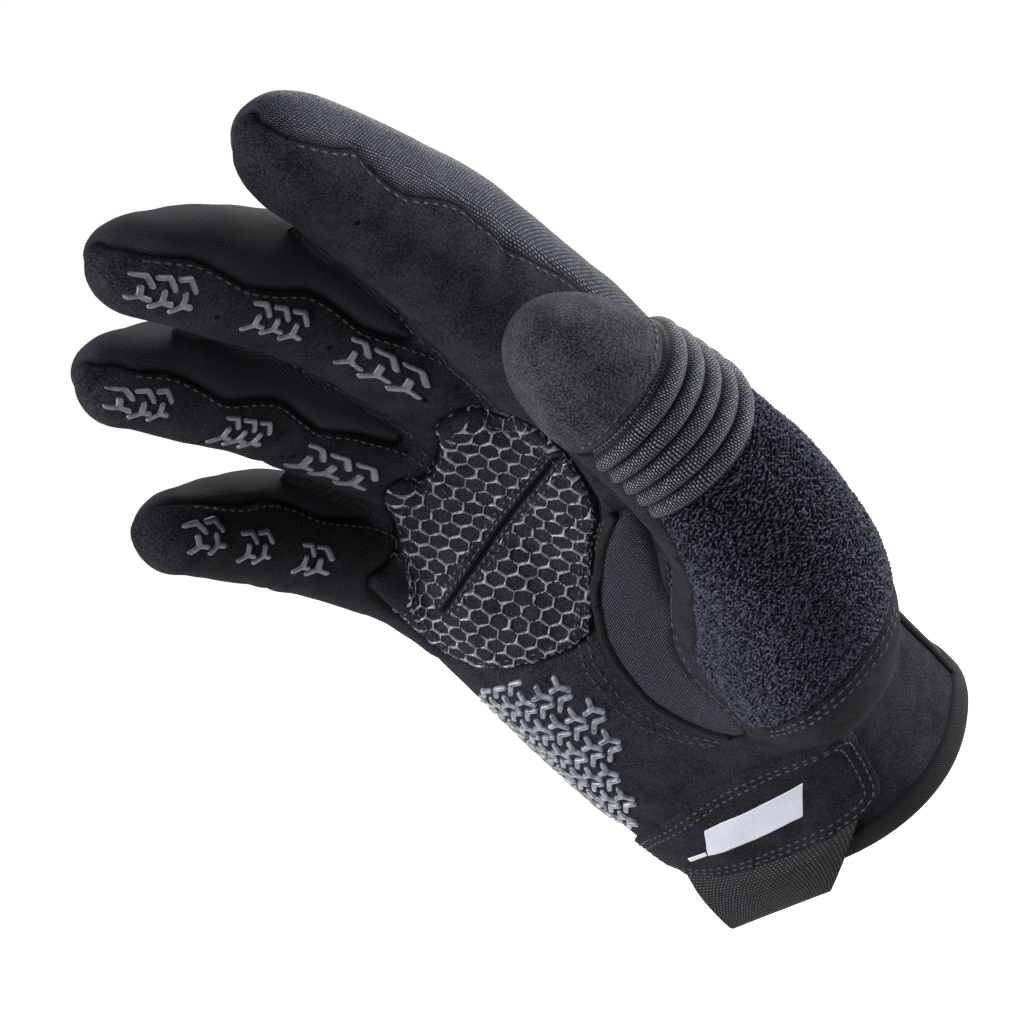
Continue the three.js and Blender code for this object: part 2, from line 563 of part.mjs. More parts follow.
// A folded tape that holds the edge of the cuff between its two sides.
const bandRings = [-bindingDrop, bindingWidth];
const throughRings = [-bindingDrop - reach.band, bindingWidth + reach.band];
const outerRing = (rings, grow) => filled(handSurface, rings, handColumnsRound, grow);
const innerRing = (grow) => filled(handSurface, throughRings, hollowColumnsRound, -wall - grow);
const bindingOut = outerRing(bandRings, seamGap + bindingCloth)
  .subtract(innerRing(seamGap + bindingCloth));
const bindingSlot = outerRing([-seamGap, bindingWidth + reach.band], seamGap)
  .subtract(innerRing(seamGap));
show("cuff_binding", bindingOut.subtract(bindingSlot), 0x0e0e10, 0.85);

export default group;
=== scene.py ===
import math

import bpy
import numpy as np
from mathutils import Matrix, Vector, noise
from mathutils.bvhtree import BVHTree
from mathutils.kdtree import KDTree


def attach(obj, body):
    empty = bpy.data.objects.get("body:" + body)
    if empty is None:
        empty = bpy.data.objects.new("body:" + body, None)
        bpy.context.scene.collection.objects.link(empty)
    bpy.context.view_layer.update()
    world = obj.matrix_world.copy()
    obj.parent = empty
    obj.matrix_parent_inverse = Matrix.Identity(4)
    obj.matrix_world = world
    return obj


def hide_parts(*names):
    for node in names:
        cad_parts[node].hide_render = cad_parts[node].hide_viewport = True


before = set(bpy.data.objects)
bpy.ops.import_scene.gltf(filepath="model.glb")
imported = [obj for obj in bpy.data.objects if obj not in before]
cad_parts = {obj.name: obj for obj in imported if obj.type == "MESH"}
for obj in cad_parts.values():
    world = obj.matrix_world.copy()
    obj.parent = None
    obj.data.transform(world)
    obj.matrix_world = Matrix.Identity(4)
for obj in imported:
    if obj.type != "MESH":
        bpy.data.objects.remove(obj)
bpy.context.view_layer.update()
mm = 0.001
roundness = 2.3  # superellipse exponent of every cross-section

# Shapes, in millimetres

glove = {
    "voxel": 0.9,
    "hand": [  # height, x, y, half width, palm depth, back depth
        (0, -4.5, 3.5, 39.5, 30, 26.5), (18, -4.5, 3.5, 39.5, 31, 26), (36, -4, 2.5, 40, 30.5, 24),
        (55, -2.5, 1, 42, 28.5, 21), (75, -1.5, 0.5, 45, 26, 18.5), (95, -0.5, 0, 47.5, 22.5, 17.5),
        (112, 0, -1, 48, 18.5, 16), (126, 0, -3, 45.5, 14.5, 13), (135, 0, -5, 40, 10.5, 8.5),
        (139, 0, -6, 34, 5, 4)],
    "swells": [(4, 88, 5.5, 18, 34), (-26, 36, -3.0, 16, 28)],  # x, height, rise, wide, tall
    "knucklePeak": 15, "knuckleDrop": 0.0095, "knuckleSeam": 128, "seamDrop": 0.0075,
    "sideSeam": [(-20, 19, -1), (60, 17, -1), (92, 5, -2), (125, -4, -3), (150, -8, -6)],
}
fingers = {  # knuckle, bones, bends, lean, twist, half widths
    "index": dict(at=(32.6, -3.4, 119.3), bones=[44.6, 25.8, 26.2], bends=[7.7, 8.6, 6.5],
                  lean=2.1, twist=-0.5, girths=[15.0, 13.3, 11.0, 9.6]),
    "middle": dict(at=(11.1, -0.3, 122.0), bones=[48.6, 30.7, 26.3], bends=[17.6, 13.4, 9.5],
                   lean=0.6, twist=-0.8, girths=[13.6, 12.4, 10.5, 8.5]),
    "ring": dict(at=(-12.3, -0.4, 113.3), bones=[45.6, 28.7, 26.0], bends=[22.1, 12.6, 8.9],
                 lean=-1.0, twist=7.1, girths=[13.0, 12.0, 10.3, 8.3]),
    "pinky": dict(at=(-33.4, -8.4, 101.0), bones=[35.7, 20.8, 22.6], bends=[27.8, 12.1, 7.2],
                  lean=-5.6, twist=17.0, girths=[12.0, 11.0, 9.4, 7.8]),
}
fingerShape = {"rootLength": 34, "side": 0.93, "front": 1.03, "back": 1.0, "dome": 3.45}
fingerSeams = {  # station, seam on the thumb side, seam on the little finger side, in degrees
    "index": [(1, 92, -85), (1.66, 90, -82), (1.86, 83, -80), (2.02, 81, -80), (2.22, 83, -82),
              (2.39, 86, -84), (2.64, 81, -80), (2.89, 72, -74), (3.05, 72, -74), (3.25, 80, -80),
              (3.36, 88, -86), (3.52, 81, -82), (3.74, 74, -76), (3.86, 70, -72)],
    "middle": [(1, 68, -78), (1.6, 60, -76), (1.86, 54, -72), (2.05, 50, -70), (2.3, 60, -74),
               (2.5, 66, -76), (2.75, 61, -72), (3.0, 60, -70), (3.2, 69, -74), (3.42, 81, -80),
               (3.6, 83, -80), (3.84, 88, -84)],
    "ring": [(1, 56, -80), (1.63, 48, -78), (1.86, 43, -74), (2.04, 36, -72), (2.22, 43, -74),
             (2.44, 54, -76), (2.66, 54, -74), (2.98, 48, -72), (3.2, 60, -74), (3.45, 77, -80),
             (3.72, 83, -82), (3.84, 90, -84)],
    "pinky": [(1, 80, -62), (1.75, 79, -62), (2.1, 77, -60), (2.45, 86, -64), (2.8, 91, -64),
              (3.11, 90, -66), (3.45, 99, -70), (3.7, 110, -76)],
}
thumb = {
    "joints": [(8, -2, 34), (27.9, -15.2, 51.5), (53.0, -27.4, 90.6), (59.7, -32.7, 126.0),
               (53.9, -34.1, 161.5)],
    "pad": (-0.825, -0.5, -0.26),
    "sections": [(0, 8, 8, 8), (0.6, 15, 13.5, 14), (1, 20.5, 17.5, 19), (1.4, 21.5, 18.5, 20),
                 (2, 18, 16.5, 17.5), (3, 14, 13.5, 13.6), (3.55, 13, 12.5, 12), (4, 12, 11.5, 10.5)],
    "dome": 3.5, "capSeam": 3.42, "ribSeam": 2.97, "innerEdge": -75,
    "edge": [(0, 30), (1.15, 14), (1.45, -12), (1.95, -4), (2.4, 14), (2.65, 28), (2.97, 44),
             (3.4, 47), (3.55, 53), (3.76, 61), (4, 64)],
    "towelSeam": [(-180, 1.6), (-75, 1.3), (0, 1.05), (20, 1.17), (47, 1.41), (72, 1.54),
                  (95, 1.62), (120, 1.65), (180, 1.6)],
    "ribs": 5, "ribHeight": 1.9,
}
gusset = [(45, 19, 25), (49, 11, 27), (56, 5, 27), (62, 2.5, 26), (73, 2, 25), (82, 5, 26),
          (93, 14, 32), (103, 28, 35)]  # height, edge on the little finger side, on the thumb side


def smoothColumn(rows, key):
    xs = np.array([row[0] for row in rows], float)
    ys = np.array([row[key] for row in rows], float)
    last = len(xs) - 1
    low = np.maximum(np.arange(last + 1) - 1, 0)
    high = np.minimum(np.arange(last + 1) + 1, last)
    slopes = (ys[high] - ys[low]) / (xs[high] - xs[low])

    def at(s):
        s = np.asarray(s, float)
        i = np.clip(np.searchsorted(xs, s, side="right") - 1, 0, last - 1)
        step = xs[i + 1] - xs[i]
        t = np.clip((s - xs[i]) / step, 0, 1)
        return ((2 * t**3 - 3 * t**2 + 1) * ys[i] + (t**3 - 2 * t**2 + t) * step * slopes[i]
                + (3 * t**2 - 2 * t**3) * ys[i + 1] + (t**3 - t**2) * step * slopes[i + 1])
    return at


def runningLength(points):
    return np.concatenate([[0], np.cumsum(np.linalg.norm(np.diff(points, axis=0), axis=1))])


def signedPower(value, power):
    return np.sign(value) * np.abs(value) ** power


def smoothSpine(joints):
    p = np.array(joints, float)
    p = np.vstack([2 * p[0] - p[1], p, 2 * p[-1] - p[-2]])
    last = len(joints) - 1

    def at(s):
        i = np.clip(np.floor(s).astype(int), 0, last - 1)
        w = (s - i)[..., None]
        a, b = (p[i + 2] - p[i]) / 2, (p[i + 3] - p[i + 1]) / 2
        c2, c3 = 3 * (p[i + 2] - p[i + 1]) - 2 * a - b, 2 * (p[i + 1] - p[i + 2]) + a + b
        tangent = a + 2 * c2 * w + 3 * c3 * w**2
        return (p[i + 1] + a * w + c2 * w**2 + c3 * w**3,
                tangent / np.linalg.norm(tangent, axis=-1, keepdims=True))
    return at


def limbSurface(joints, pad, sections, dome):
    spine, last = smoothSpine(joints), len(joints) - 1
    side, front, back = (smoothColumn(sections, k) for k in (1, 2, 3))
    pad, power = np.array(pad, float), 2 / roundness

    def at(s, a, inset=0.0):
        s, a = np.broadcast_arrays(np.asarray(s, float), np.asarray(a, float))
        centre, along = spine(np.clip(s, 0, last))
        palmar = pad - along * (along @ pad)[..., None]
        palmar = palmar / np.linalg.norm(palmar, axis=-1, keepdims=True)
        across = np.cross(along, palmar)
        t = np.maximum(0, (s - dome) / (last - dome))
        shrink = np.sqrt(np.maximum(0, 1 - t**2.4))
        depth = np.where(np.cos(a) > 0, front(s), back(s))
        return (centre + palmar * (shrink * (depth - inset) * signedPower(np.cos(a), power))[..., None]
                + across * (shrink * (side(s) - inset) * signedPower(np.sin(a), power))[..., None]
                - along * (inset * t**3)[..., None])
    return at


def fingerJoints(f):
    lean, twist = math.radians(f["lean"]), math.radians(f["twist"])
    straight = np.array([math.sin(lean), 0, math.cos(lean)])
    thumbward = np.array([math.cos(lean), 0, -math.sin(lean)])
    pad = np.array([0, -math.cos(twist), 0]) + thumbward * math.sin(twist)
    knuckle = np.array(f["at"], float)
    joints, bend = [knuckle - straight * fingerShape["rootLength"], knuckle], 0
    for bone, turn in zip(f["bones"], f["bends"]):
        bend += math.radians(turn)
        joints.append(joints[-1] + straight * bone * math.cos(bend) + pad * bone * math.sin(bend))
    return joints, pad


def fingerSurface(f):
    joints, pad = fingerJoints(f)
    g = f["girths"]
    rows = [(0, g[0] * 0.9), (1, g[0]), (2, g[1]), (3, g[2]), (3.5, g[3]), (4, g[3] * 0.96)]
    rows = [(s, w * fingerShape["side"], w * fingerShape["front"], w * fingerShape["back"])
            for s, w in rows]
    return limbSurface(joints, pad, rows, fingerShape["dome"])


def halfWidth(name, station):
    return np.interp(station, [1, 2, 3, 3.5], fingers[name]["girths"])


def handSurfaceMaker():
    x0, y0, side, front, back = (smoothColumn(glove["hand"], k) for k in range(1, 6))
    top, power = glove["hand"][-1][0], 2 / roundness

    def at(height, a, inset=0.0):
        height, a = np.broadcast_arrays(np.asarray(height, float), np.asarray(a, float))
        depth = np.where(np.cos(a) > 0, front(height), back(height))
        x = x0(height) + (side(height) - inset) * signedPower(np.sin(a), power)
        y = y0(height) - (depth - inset) * signedPower(np.cos(a), power)
        palmShare = np.clip(np.cos(a) * 2, 0, 1)
        for sx, sh, rise, wide, tall in glove["swells"]:
            y = y + palmShare * rise * np.exp(-((x - sx) / wide) ** 2 - ((height - sh) / tall) ** 2)
        share = np.maximum(0, height) / top
        z = (height - inset * np.maximum(0, (share - 0.94) / 0.06)
             - share**3 * glove["knuckleDrop"] * (x - glove["knucklePeak"]) ** 2)
        return np.stack([x, y, z], -1)
    return at


handSurface = handSurfaceMaker()
thumbSurface = limbSurface(thumb["joints"], thumb["pad"], thumb["sections"], thumb["dome"])
limbs = {"hand": (handSurface, np.linspace(-6, 139, 180), 220),
         "thumb": (thumbSurface, np.concatenate([np.linspace(0, 3.5, 150), 3.5 + 0.499 * np.sin(
             np.linspace(0, math.pi / 2, 36))[1:]]), 150)}
for fingerName in fingers:
    limbs[fingerName] = (fingerSurface(fingers[fingerName]), np.concatenate([
        np.linspace(0.45, 3.45, 150), 3.45 + 0.549 * np.sin(np.linspace(0, math.pi / 2, 30))[1:]]), 120)
limbNames = list(limbs)

# The worn form: six closed shapes joined by a voxel remesh


def tubeMesh(surface, stations, columns):
    angles = np.linspace(-math.pi, math.pi, columns, endpoint=False)
    grid = surface(stations[:, None], angles[None, :])
    rows = len(stations)
    verts = np.vstack([grid.reshape(-1, 3), grid[0].mean(0), grid[-1].mean(0)])
    faces = []
    for i in range(rows - 1):
        for j in range(columns):
            k = (j + 1) % columns
            faces.append((i * columns + j, i * columns + k, (i + 1) * columns + k, (i + 1) * columns + j))
    start, end = rows * columns, rows * columns + 1
    for j in range(columns):
        k = (j + 1) % columns
        faces.append((start, k, j))
        faces.append((end, (rows - 1) * columns + j, (rows - 1) * columns + k))
    return verts, faces


def linked(obj):
    bpy.context.scene.collection.objects.link(obj)
    return obj


def newMesh(name, verts, faces):
    mesh = bpy.data.meshes.new(name)
    mesh.from_pydata([tuple(v) for v in np.asarray(verts) * mm], [], [tuple(f) for f in faces])
    mesh.update()
    return linked(bpy.data.objects.new(name, mesh))


def evaluatedMesh(obj):
    depsgraph = bpy.context.evaluated_depsgraph_get()
    return bpy.data.meshes.new_from_object(obj.evaluated_get(depsgraph))


def readMesh(obj):
    mesh = obj.data
    mesh.calc_loop_triangles()
    verts = np.empty(len(mesh.vertices) * 3)
    mesh.vertices.foreach_get("co", verts)
    tris = np.empty(len(mesh.loop_triangles) * 3, dtype=np.int64)
    mesh.loop_triangles.foreach_get("vertices", tris)
    return verts.reshape(-1, 3) / mm, tris.reshape(-1, 3)


def joinedForm(voxel):
    verts, faces = [], []
    for surface, stations, columns in limbs.values():
        v, f = tubeMesh(surface, stations[::3] if len(stations) > 160 else stations[::2], columns // 2)
        start = sum(len(x) for x in verts)
        verts.append(v)
        faces += [tuple(start + i for i in face) for face in f]
    obj = newMesh("joined form", np.vstack(verts), faces)
    remesh = obj.modifiers.new("remesh", "REMESH")
    remesh.mode, remesh.voxel_size = "VOXEL", voxel * mm
    whole = bpy.data.objects.new("whole form", evaluatedMesh(obj))
    verts, tris = readMesh(whole)
    for old in (obj, whole):
        bpy.data.objects.remove(old)
    return verts, tris


def edgesOf(tris):
    pairs = np.sort(np.vstack([tris[:, [0, 1]], tris[:, [1, 2]], tris[:, [2, 0]]]), axis=1)
    unique, inverse = np.unique(pairs[:, 0] * (pairs.max() + 1) + pairs[:, 1], return_inverse=True)
    size = pairs.max() + 1
    return np.stack([unique // size, unique % size], 1), inverse.reshape(3, -1).T


def smoothed(verts, tris, weight, rounds):
    edges, _ = edgesOf(tris)
    count = np.bincount(edges.ravel(), minlength=len(verts))[:, None]
    for _ in range(rounds):
        total = np.zeros_like(verts)
        for k in range(3):
            total[:, k] = (np.bincount(edges[:, 0], verts[edges[:, 1], k], len(verts))
                           + np.bincount(edges[:, 1], verts[edges[:, 0], k], len(verts)))
        verts = verts + (total / np.maximum(count, 1) - verts) * weight[:, None]
    return verts


def faceNormals(verts, tris):
    a, b, c = (verts[tris[:, k]] for k in range(3))
    return np.cross(b - a, c - a)


def vertexNormals(verts, tris):
    face = faceNormals(verts, tris)
    normals = np.zeros_like(verts)
    for k in range(3):
        for j in range(3):
            normals[:, k] += np.bincount(tris[:, j], face[:, k], len(verts))
    return normals / np.maximum(np.linalg.norm(normals, axis=1, keepdims=True), 1e-9)


def compact(tris):
    used, remap = np.unique(tris, return_inverse=True)
    return used, remap.reshape(-1, 3)


def searchTree(points):
    tree = KDTree(len(points))
    for i, p in enumerate(points):
        tree.insert(p, i)
    tree.balance()
    return tree


def locate(points, name):
    surface, stations, columns = limbs[name]
    angles = np.linspace(-math.pi, math.pi, columns, endpoint=False)
    ss, aa = np.meshgrid(stations, angles, indexing="ij")
    grid = surface(ss, aa)
    eps = 1e-3
    du = (surface(ss + eps, aa) - surface(ss - eps, aa)) / (2 * eps)
    dv = (surface(ss, aa + eps) - surface(ss, aa - eps)) / (2 * eps)
    flat = grid.reshape(-1, 3)
    tree = searchTree(flat)
    near = np.array([tree.find(p)[1] for p in points])
    du, dv = du.reshape(-1, 3)[near], dv.reshape(-1, 3)[near]
    gap = points - flat[near]
    uu, vv, uv = (du * du).sum(1), (dv * dv).sum(1), (du * dv).sum(1)
    gu, gv = (gap * du).sum(1), (gap * dv).sum(1)
    det = np.maximum(uu * vv - uv * uv, 1e-6)
    stepU, stepV = (gu * vv - gv * uv) / det, (gv * uu - gu * uv) / det
    reach = 0.6 * np.gradient(stations).max()
    stepU = np.clip(stepU, -reach, reach)
    stepV = np.clip(stepV, -math.pi / columns, math.pi / columns)
    rest = gap - du * stepU[:, None] - dv * stepV[:, None]
    return (np.linalg.norm(rest, axis=1), ss.ravel()[near] + stepU,
            (aa.ravel()[near] + stepV + math.pi) % (2 * math.pi) - math.pi)

# Cutting the form along seam lines


def splitEdges(skin, marked, share):
    tris = skin["tris"]
    edges, triEdges = edgesOf(tris)
    ends = edges[marked]
    t = share[marked][:, None]
    start = len(skin["verts"])
    newIndex = np.full(len(edges), -1)
    newIndex[marked] = start + np.arange(len(ends))
    skin["verts"] = np.vstack([skin["verts"], skin["verts"][ends[:, 0]] * (1 - t)
                               + skin["verts"][ends[:, 1]] * t])
    for key, values in skin["fields"].items():
        added = values[ends[:, 0]] * (1 - t[:, 0]) + values[ends[:, 1]] * t[:, 0]
        skin["fields"][key] = np.concatenate([values, added])
    marks = newIndex[triEdges]
    count = (marks >= 0).sum(1)
    out = [tris[count == 0]]
    for turn in range(3):
        v = np.roll(tris, -turn, axis=1)
        m = np.roll(marks, -turn, axis=1)
        one = (count == 1) & (m[:, 0] >= 0)
        out.append(np.stack([v[one, 0], m[one, 0], v[one, 2]], 1))
        out.append(np.stack([m[one, 0], v[one, 1], v[one, 2]], 1))
        two = (count == 2) & (m[:, 2] < 0)
        out.append(np.stack([m[two, 0], v[two, 1], m[two, 1]], 1))
        out.append(np.stack([v[two, 0], m[two, 0], m[two, 1]], 1))
        out.append(np.stack([v[two, 0], m[two, 1], v[two, 2]], 1))
    three = count == 3
    v, m = tris[three], marks[three]
    out += [np.stack([v[:, 0], m[:, 0], m[:, 2]], 1), np.stack([m[:, 0], v[:, 1], m[:, 1]], 1),
            np.stack([m[:, 2], m[:, 1], v[:, 2]], 1), m]
    skin["tris"] = np.vstack(out)
    return newIndex[marked]


def cutAlong(skin, key, inside=None):
    field = skin["fields"][key]
    field[np.abs(field) < 0.03] = 0
    edges, _ = edgesOf(skin["tris"])
    a, b = field[edges[:, 0]], field[edges[:, 1]]
    marked = a * b < 0
    if inside is not None:
        marked &= inside[edges].all(1)
    share = np.clip(a / np.where(a == b, 1, a - b), 0.06, 0.94)
    new = splitEdges(skin, marked, share)
    skin["fields"][key][new] = 0


def rounded(first, second, radius):
    corner = radius - np.hypot(np.maximum(radius - first, 0), np.maximum(radius - second, 0))
    return np.where((first < radius) & (second < radius), corner, np.minimum(first, second))


def softClosed(points, rounds=2):
    p = np.array(points, float)
    for _ in range(rounds):  # cut every corner at a quarter of its sides
        q = np.roll(p, -1, axis=0)
        p = np.stack([0.75 * p + 0.25 * q, 0.25 * p + 0.75 * q], 1).reshape(-1, 2)
    return p


def insidePolygon(x, y, polygon):
    best = np.full(np.shape(x), 1e9)
    inside = np.zeros(np.shape(x), bool)
    for (ax, ay), (bx, by) in zip(polygon, np.roll(polygon, -1, axis=0)):
        ex, ey = bx - ax, by - ay
        t = np.clip(((x - ax) * ex + (y - ay) * ey) / max(ex * ex + ey * ey, 1e-9), 0, 1)
        best = np.minimum(best, np.hypot(x - ax - t * ex, y - ay - t * ey))
        crosses = (ay > y) != (by > y)
        inside ^= crosses & (x < ax + (y - ay) * ex / (ey if ey else 1e-9))
    return np.where(inside, best, -best)


# Where the panels lie, in millimetres from each seam

palmGrip = {
    "outline": [(-33, 81), (-17, 77), (-1, 76), (6, 84), (11, 91), (15, 97), (23, 104), (25.5, 114),
                (27, 122), (26, 131), (20, 131), (18, 138), (10, 138), (4, 130), (-4, 125), (-7, 130),
                (-14, 126), (-19, 117), (-22, 112), (-26, 116), (-31, 104), (-34, 92)],
    "slit": [(-23, 97), (25, 120)], "lift": 0.7, "pitch": 4.0, "line": 0.58, "height": 0.45,
    "turn": 16, "edgeGap": 0.8, "slitGap": 1.6,
}
stationLength = {"thumb": 38.0, "index": 26, "middle": 27, "ring": 27, "pinky": 22}
handRadius, limbRadius = 42, 13  # turn an angle round the hand or a finger into a width of cloth
limbMargin, farAway = 8, 99.0  # room round a limb's box, and the distance given to points outside it


def measured(points):
    found = {}
    for name in limbNames:
        surface, stations, columns = limbs[name]
        grid = surface(stations[::8][:, None], np.linspace(-math.pi, math.pi, 16)[None, :])
        low, high = grid.reshape(-1, 3).min(0) - limbMargin, grid.reshape(-1, 3).max(0) + limbMargin
        near = ((points > low) & (points < high)).all(1)
        away, station, angle = (np.full(len(points), v) for v in (farAway, 0.0, 0.0))
        away[near], station[near], angle[near] = locate(points[near], name)
        found[name] = (away, station, np.degrees(angle))
    return found


def seamFields(points):
    found = measured(points)
    x, y, z = points.T
    fields = {}
    away = {name: found[name][0] for name in limbNames}
    nearest = np.min(list(away.values()), axis=0)
    # suede: above zero on the palm side of hand and fingers, blended where two limbs meet
    side = glove["sideSeam"]
    little, thumbward = (smoothColumn(side, k)(z) for k in (2, 1))
    handSuede = little + (thumbward - little) * (x + 90) / 180 - y
    total = np.exp(-(away["hand"] - nearest)) * handSuede
    weight = np.exp(-(away["hand"] - nearest))
    for name in fingers:
        _, s, a = found[name]
        half = halfWidth(name, s)
        right, left = (smoothColumn(fingerSeams[name], k)(s) for k in (1, 2))
        beyond = np.radians(np.where(a > 0, a - right, left - a)) * half
        below = (fingerSeams[name][-1][0] - s) * stationLength[name]
        w = np.exp(-(away[name] - nearest))
        total = total - w * rounded(beyond, below + 3, 5)
        weight = weight + w
    w = np.exp(-(away["thumb"] - nearest))
    fields["suede"] = (total + 6 * w) / (weight + w)
    # sleeve: above zero past the towelling's lower edge; cap, ribs and outside split it up
    _, s, a = found["thumb"]
    length = stationLength["thumb"]
    towel = np.array(thumb["towelSeam"])
    others = np.min([away[name] for name in limbNames if name != "thumb"], axis=0)
    fields["onThumb"] = np.where(away["thumb"] > farAway / 2, -9, others - away["thumb"])
    fields["sleeve"] = rounded(fields["onThumb"], (s - np.interp(a, towel[:, 0], towel[:, 1])) * length, 3)
    fields["cap"] = (s - thumb["capSeam"]) * length
    fields["ribs"] = (s - thumb["ribSeam"]) * length
    edge = np.interp(s, *np.array(thumb["edge"]).T)
    half = np.interp(s, [1, 2, 3, 4], [20, 18, 14, 12])
    middle = (edge + thumb["innerEdge"]) / 2
    fields["outside"] = np.radians(np.where(a > middle, a - edge, thumb["innerEdge"] - a)) * half
    # gusset and grip: outlines seen from the palm side
    palmar = y < 6
    gussetLine = [tuple(handSurface(h, math.radians(a1))[[0, 2]]) for h, a1, _ in gusset]
    gussetLine += [tuple(handSurface(h, math.radians(a2))[[0, 2]]) for h, _, a2 in gusset[::-1]]
    fields["gusset"] = np.where(palmar, insidePolygon(x, z, softClosed(gussetLine, 1)), -9)
    fields["gusset"] = np.minimum(fields["gusset"], -fields["sleeve"] + 0.2)
    fields["grip"] = np.where(palmar, insidePolygon(x, z, softClosed(palmGrip["outline"], 1)), -9)
    fields["knuckle"] = z - glove["knuckleSeam"] + glove["seamDrop"] * (x - glove["knucklePeak"]) ** 2
    fields["index"] = away["middle"] - away["index"] + np.maximum(0, away["index"] - away["middle"] - 6)
    fields["cuff"] = z.copy()
    return fields


blend = {"web": 4, "root": 9, "rootTop": 78, "rootFade": 18}  # widths and heights that are softened

print("form")
verts, tris = joinedForm(glove["voxel"])
first = measured(verts)
apart = np.sort(np.stack([first[name][0] for name in limbNames], 1), axis=1)
junction = np.clip(1 - (apart[:, 1] - apart[:, 0]) / blend["web"], 0, 1)
thumbRoot = np.clip(1.6 - np.abs(first["hand"][0] - first["thumb"][0]) / blend["root"], 0, 1)
thumbRoot *= np.clip((blend["rootTop"] - verts[:, 2]) / blend["rootFade"], 0, 1)
# first the voxels' steps, then the webs between the fingers, then the thumb's root
verts = smoothed(verts, tris, np.full(len(verts), 0.5), 4)
verts = smoothed(verts, tris, 0.6 * junction, 24)
verts = smoothed(verts, tris, 0.9 * thumbRoot, 260)
skin = {"verts": verts, "tris": tris, "fields": seamFields(verts)}
print("form", len(verts), len(tris))


def fromSeam(key):
    return skin["fields"][key]


cutAlong(skin, "cuff")
cutAlong(skin, "sleeve")
cutAlong(skin, "cap", fromSeam("sleeve") > -2.5)
cutAlong(skin, "ribs", fromSeam("sleeve") > -2.5)
cutAlong(skin, "outside", (fromSeam("sleeve") > -2.5) & (fromSeam("cap") < 2))
cutAlong(skin, "gusset")
cutAlong(skin, "suede", ~(fromSeam("sleeve") > 1))
cutAlong(skin, "grip")
cutAlong(skin, "knuckle", fromSeam("suede") < 2)
cutAlong(skin, "index", (fromSeam("suede") < 2) & (fromSeam("knuckle") > -2))


def labelled(skin):
    f = {key: values[skin["tris"]].mean(1) for key, values in skin["fields"].items()}
    sleeve, outside = f["sleeve"] > 0, f["outside"] > 0
    label = np.full(len(skin["tris"]), "palm", dtype="U8")
    label[f["grip"] > 0] = "grip"
    label[f["suede"] < 0] = "back"
    label[(f["suede"] < 0) & (f["knuckle"] > 0)] = "fingers"
    label[(f["suede"] < 0) & (f["knuckle"] > 0) & (f["index"] > 0)] = "index"
    label[f["gusset"] > 0] = "gusset"
    label[sleeve] = "front"
    label[sleeve & outside] = "towel"
    label[sleeve & outside & (f["ribs"] > 0)] = "ribs"
    label[sleeve & (f["cap"] > 0)] = "cap"
    label[f["cuff"] < 0] = "gone"
    return label


label = labelled(skin)
print("panels", {name: int((label == name).sum()) for name in np.unique(label)})

# Relief: seams drawn in, cloth that puffs between them, creases and slack

relief = {"seamDepth": 0.6, "seamWidth": 1.0, "puff": 0.35, "puffWidth": 3.5, "slack": 0.45,
          "slackSize": 17, "wrinkle": 0.22, "wrinkleSize": 6, "fineWithin": 1.4, "shadeWidth": 0.6}
creases = [  # limb, station, from angle, to angle, depth, width in mm along the finger
    ("index", 1.98, 20, 96, 1.1, 3.4), ("index", 1.72, -60, 40, 0.5, 3.0),
    ("index", 2.9, 10, 90, 0.35, 3.0), ("middle", 2.05, -60, 50, 0.4, 3.0),
    ("ring", 2.05, -60, 50, 0.4, 3.0), ("pinky", 2.1, -60, 50, 0.35, 2.6),
]


def boundaryOf(tris, label):
    edges, triEdges = edgesOf(tris)
    low, high = np.full(len(edges), 99), np.full(len(edges), -1)
    _, code = np.unique(label, return_inverse=True)
    for k in range(3):
        np.minimum.at(low, triEdges[:, k], code)
        np.maximum.at(high, triEdges[:, k], code)
    return np.unique(edges[low != high])


def distanceTo(points, targets):
    tree = searchTree(targets)
    return np.array([tree.find(p)[2] for p in points])


def ripple(points, size, seed):
    shift = Vector((seed, seed * 0.7, -seed))
    return np.array([noise.noise(Vector(p) / size + shift) for p in points])


seamVerts = boundaryOf(skin["tris"], label)
away = distanceTo(skin["verts"], skin["verts"][seamVerts])
edges, _ = edgesOf(skin["tris"])
near = (away[edges] < relief["fineWithin"]).all(1)
splitEdges(skin, near, np.full(len(edges), 0.5))
keep = labelled(skin) != "gone"
used, skin["tris"] = compact(skin["tris"][keep])
skin["verts"] = skin["verts"][used]
skin["fields"] = {key: values[used] for key, values in skin["fields"].items()}
label = labelled(skin)
normals = vertexNormals(skin["verts"], skin["tris"])
seamVerts = boundaryOf(skin["tris"], label)
away = distanceTo(skin["verts"], skin["verts"][seamVerts])
print("relief", len(skin["verts"]), len(skin["tris"]))
lift = -relief["seamDepth"] * np.exp(-(away / relief["seamWidth"]) ** 2)
lift += relief["puff"] * (1 - np.exp(-(away / relief["puffWidth"]) ** 2))
lift += relief["slack"] * ripple(skin["verts"], relief["slackSize"], 3.1)
lift += relief["wrinkle"] * ripple(skin["verts"], relief["wrinkleSize"], 8.3)
place = measured(skin["verts"])
for name, station, start, end, depth, width in creases:
    away1, s, a = place[name]
    a = np.where(a < start - 60, a + 360, a)
    along = (s - station) * stationLength[name] * 1.2
    along = along + 1.2 * np.sin(np.radians(a * 2.5))
    share = np.clip(np.minimum(a - start, end - a) / 25, 0, 1) * (away1 < 3)
    banks = 0.5 * np.exp(-((np.abs(along) - width) / width) ** 2)
    lift += share * depth * (banks - np.exp(-(along / width * 1.6) ** 2))
lift += palmGrip["lift"] * np.clip(fromSeam("grip") / 0.7, 0, 1) * (fromSeam("suede") > 0)
skin["shaped"] = skin["verts"] + normals * lift[:, None]
skin["normals"] = vertexNormals(skin["shaped"], skin["tris"])
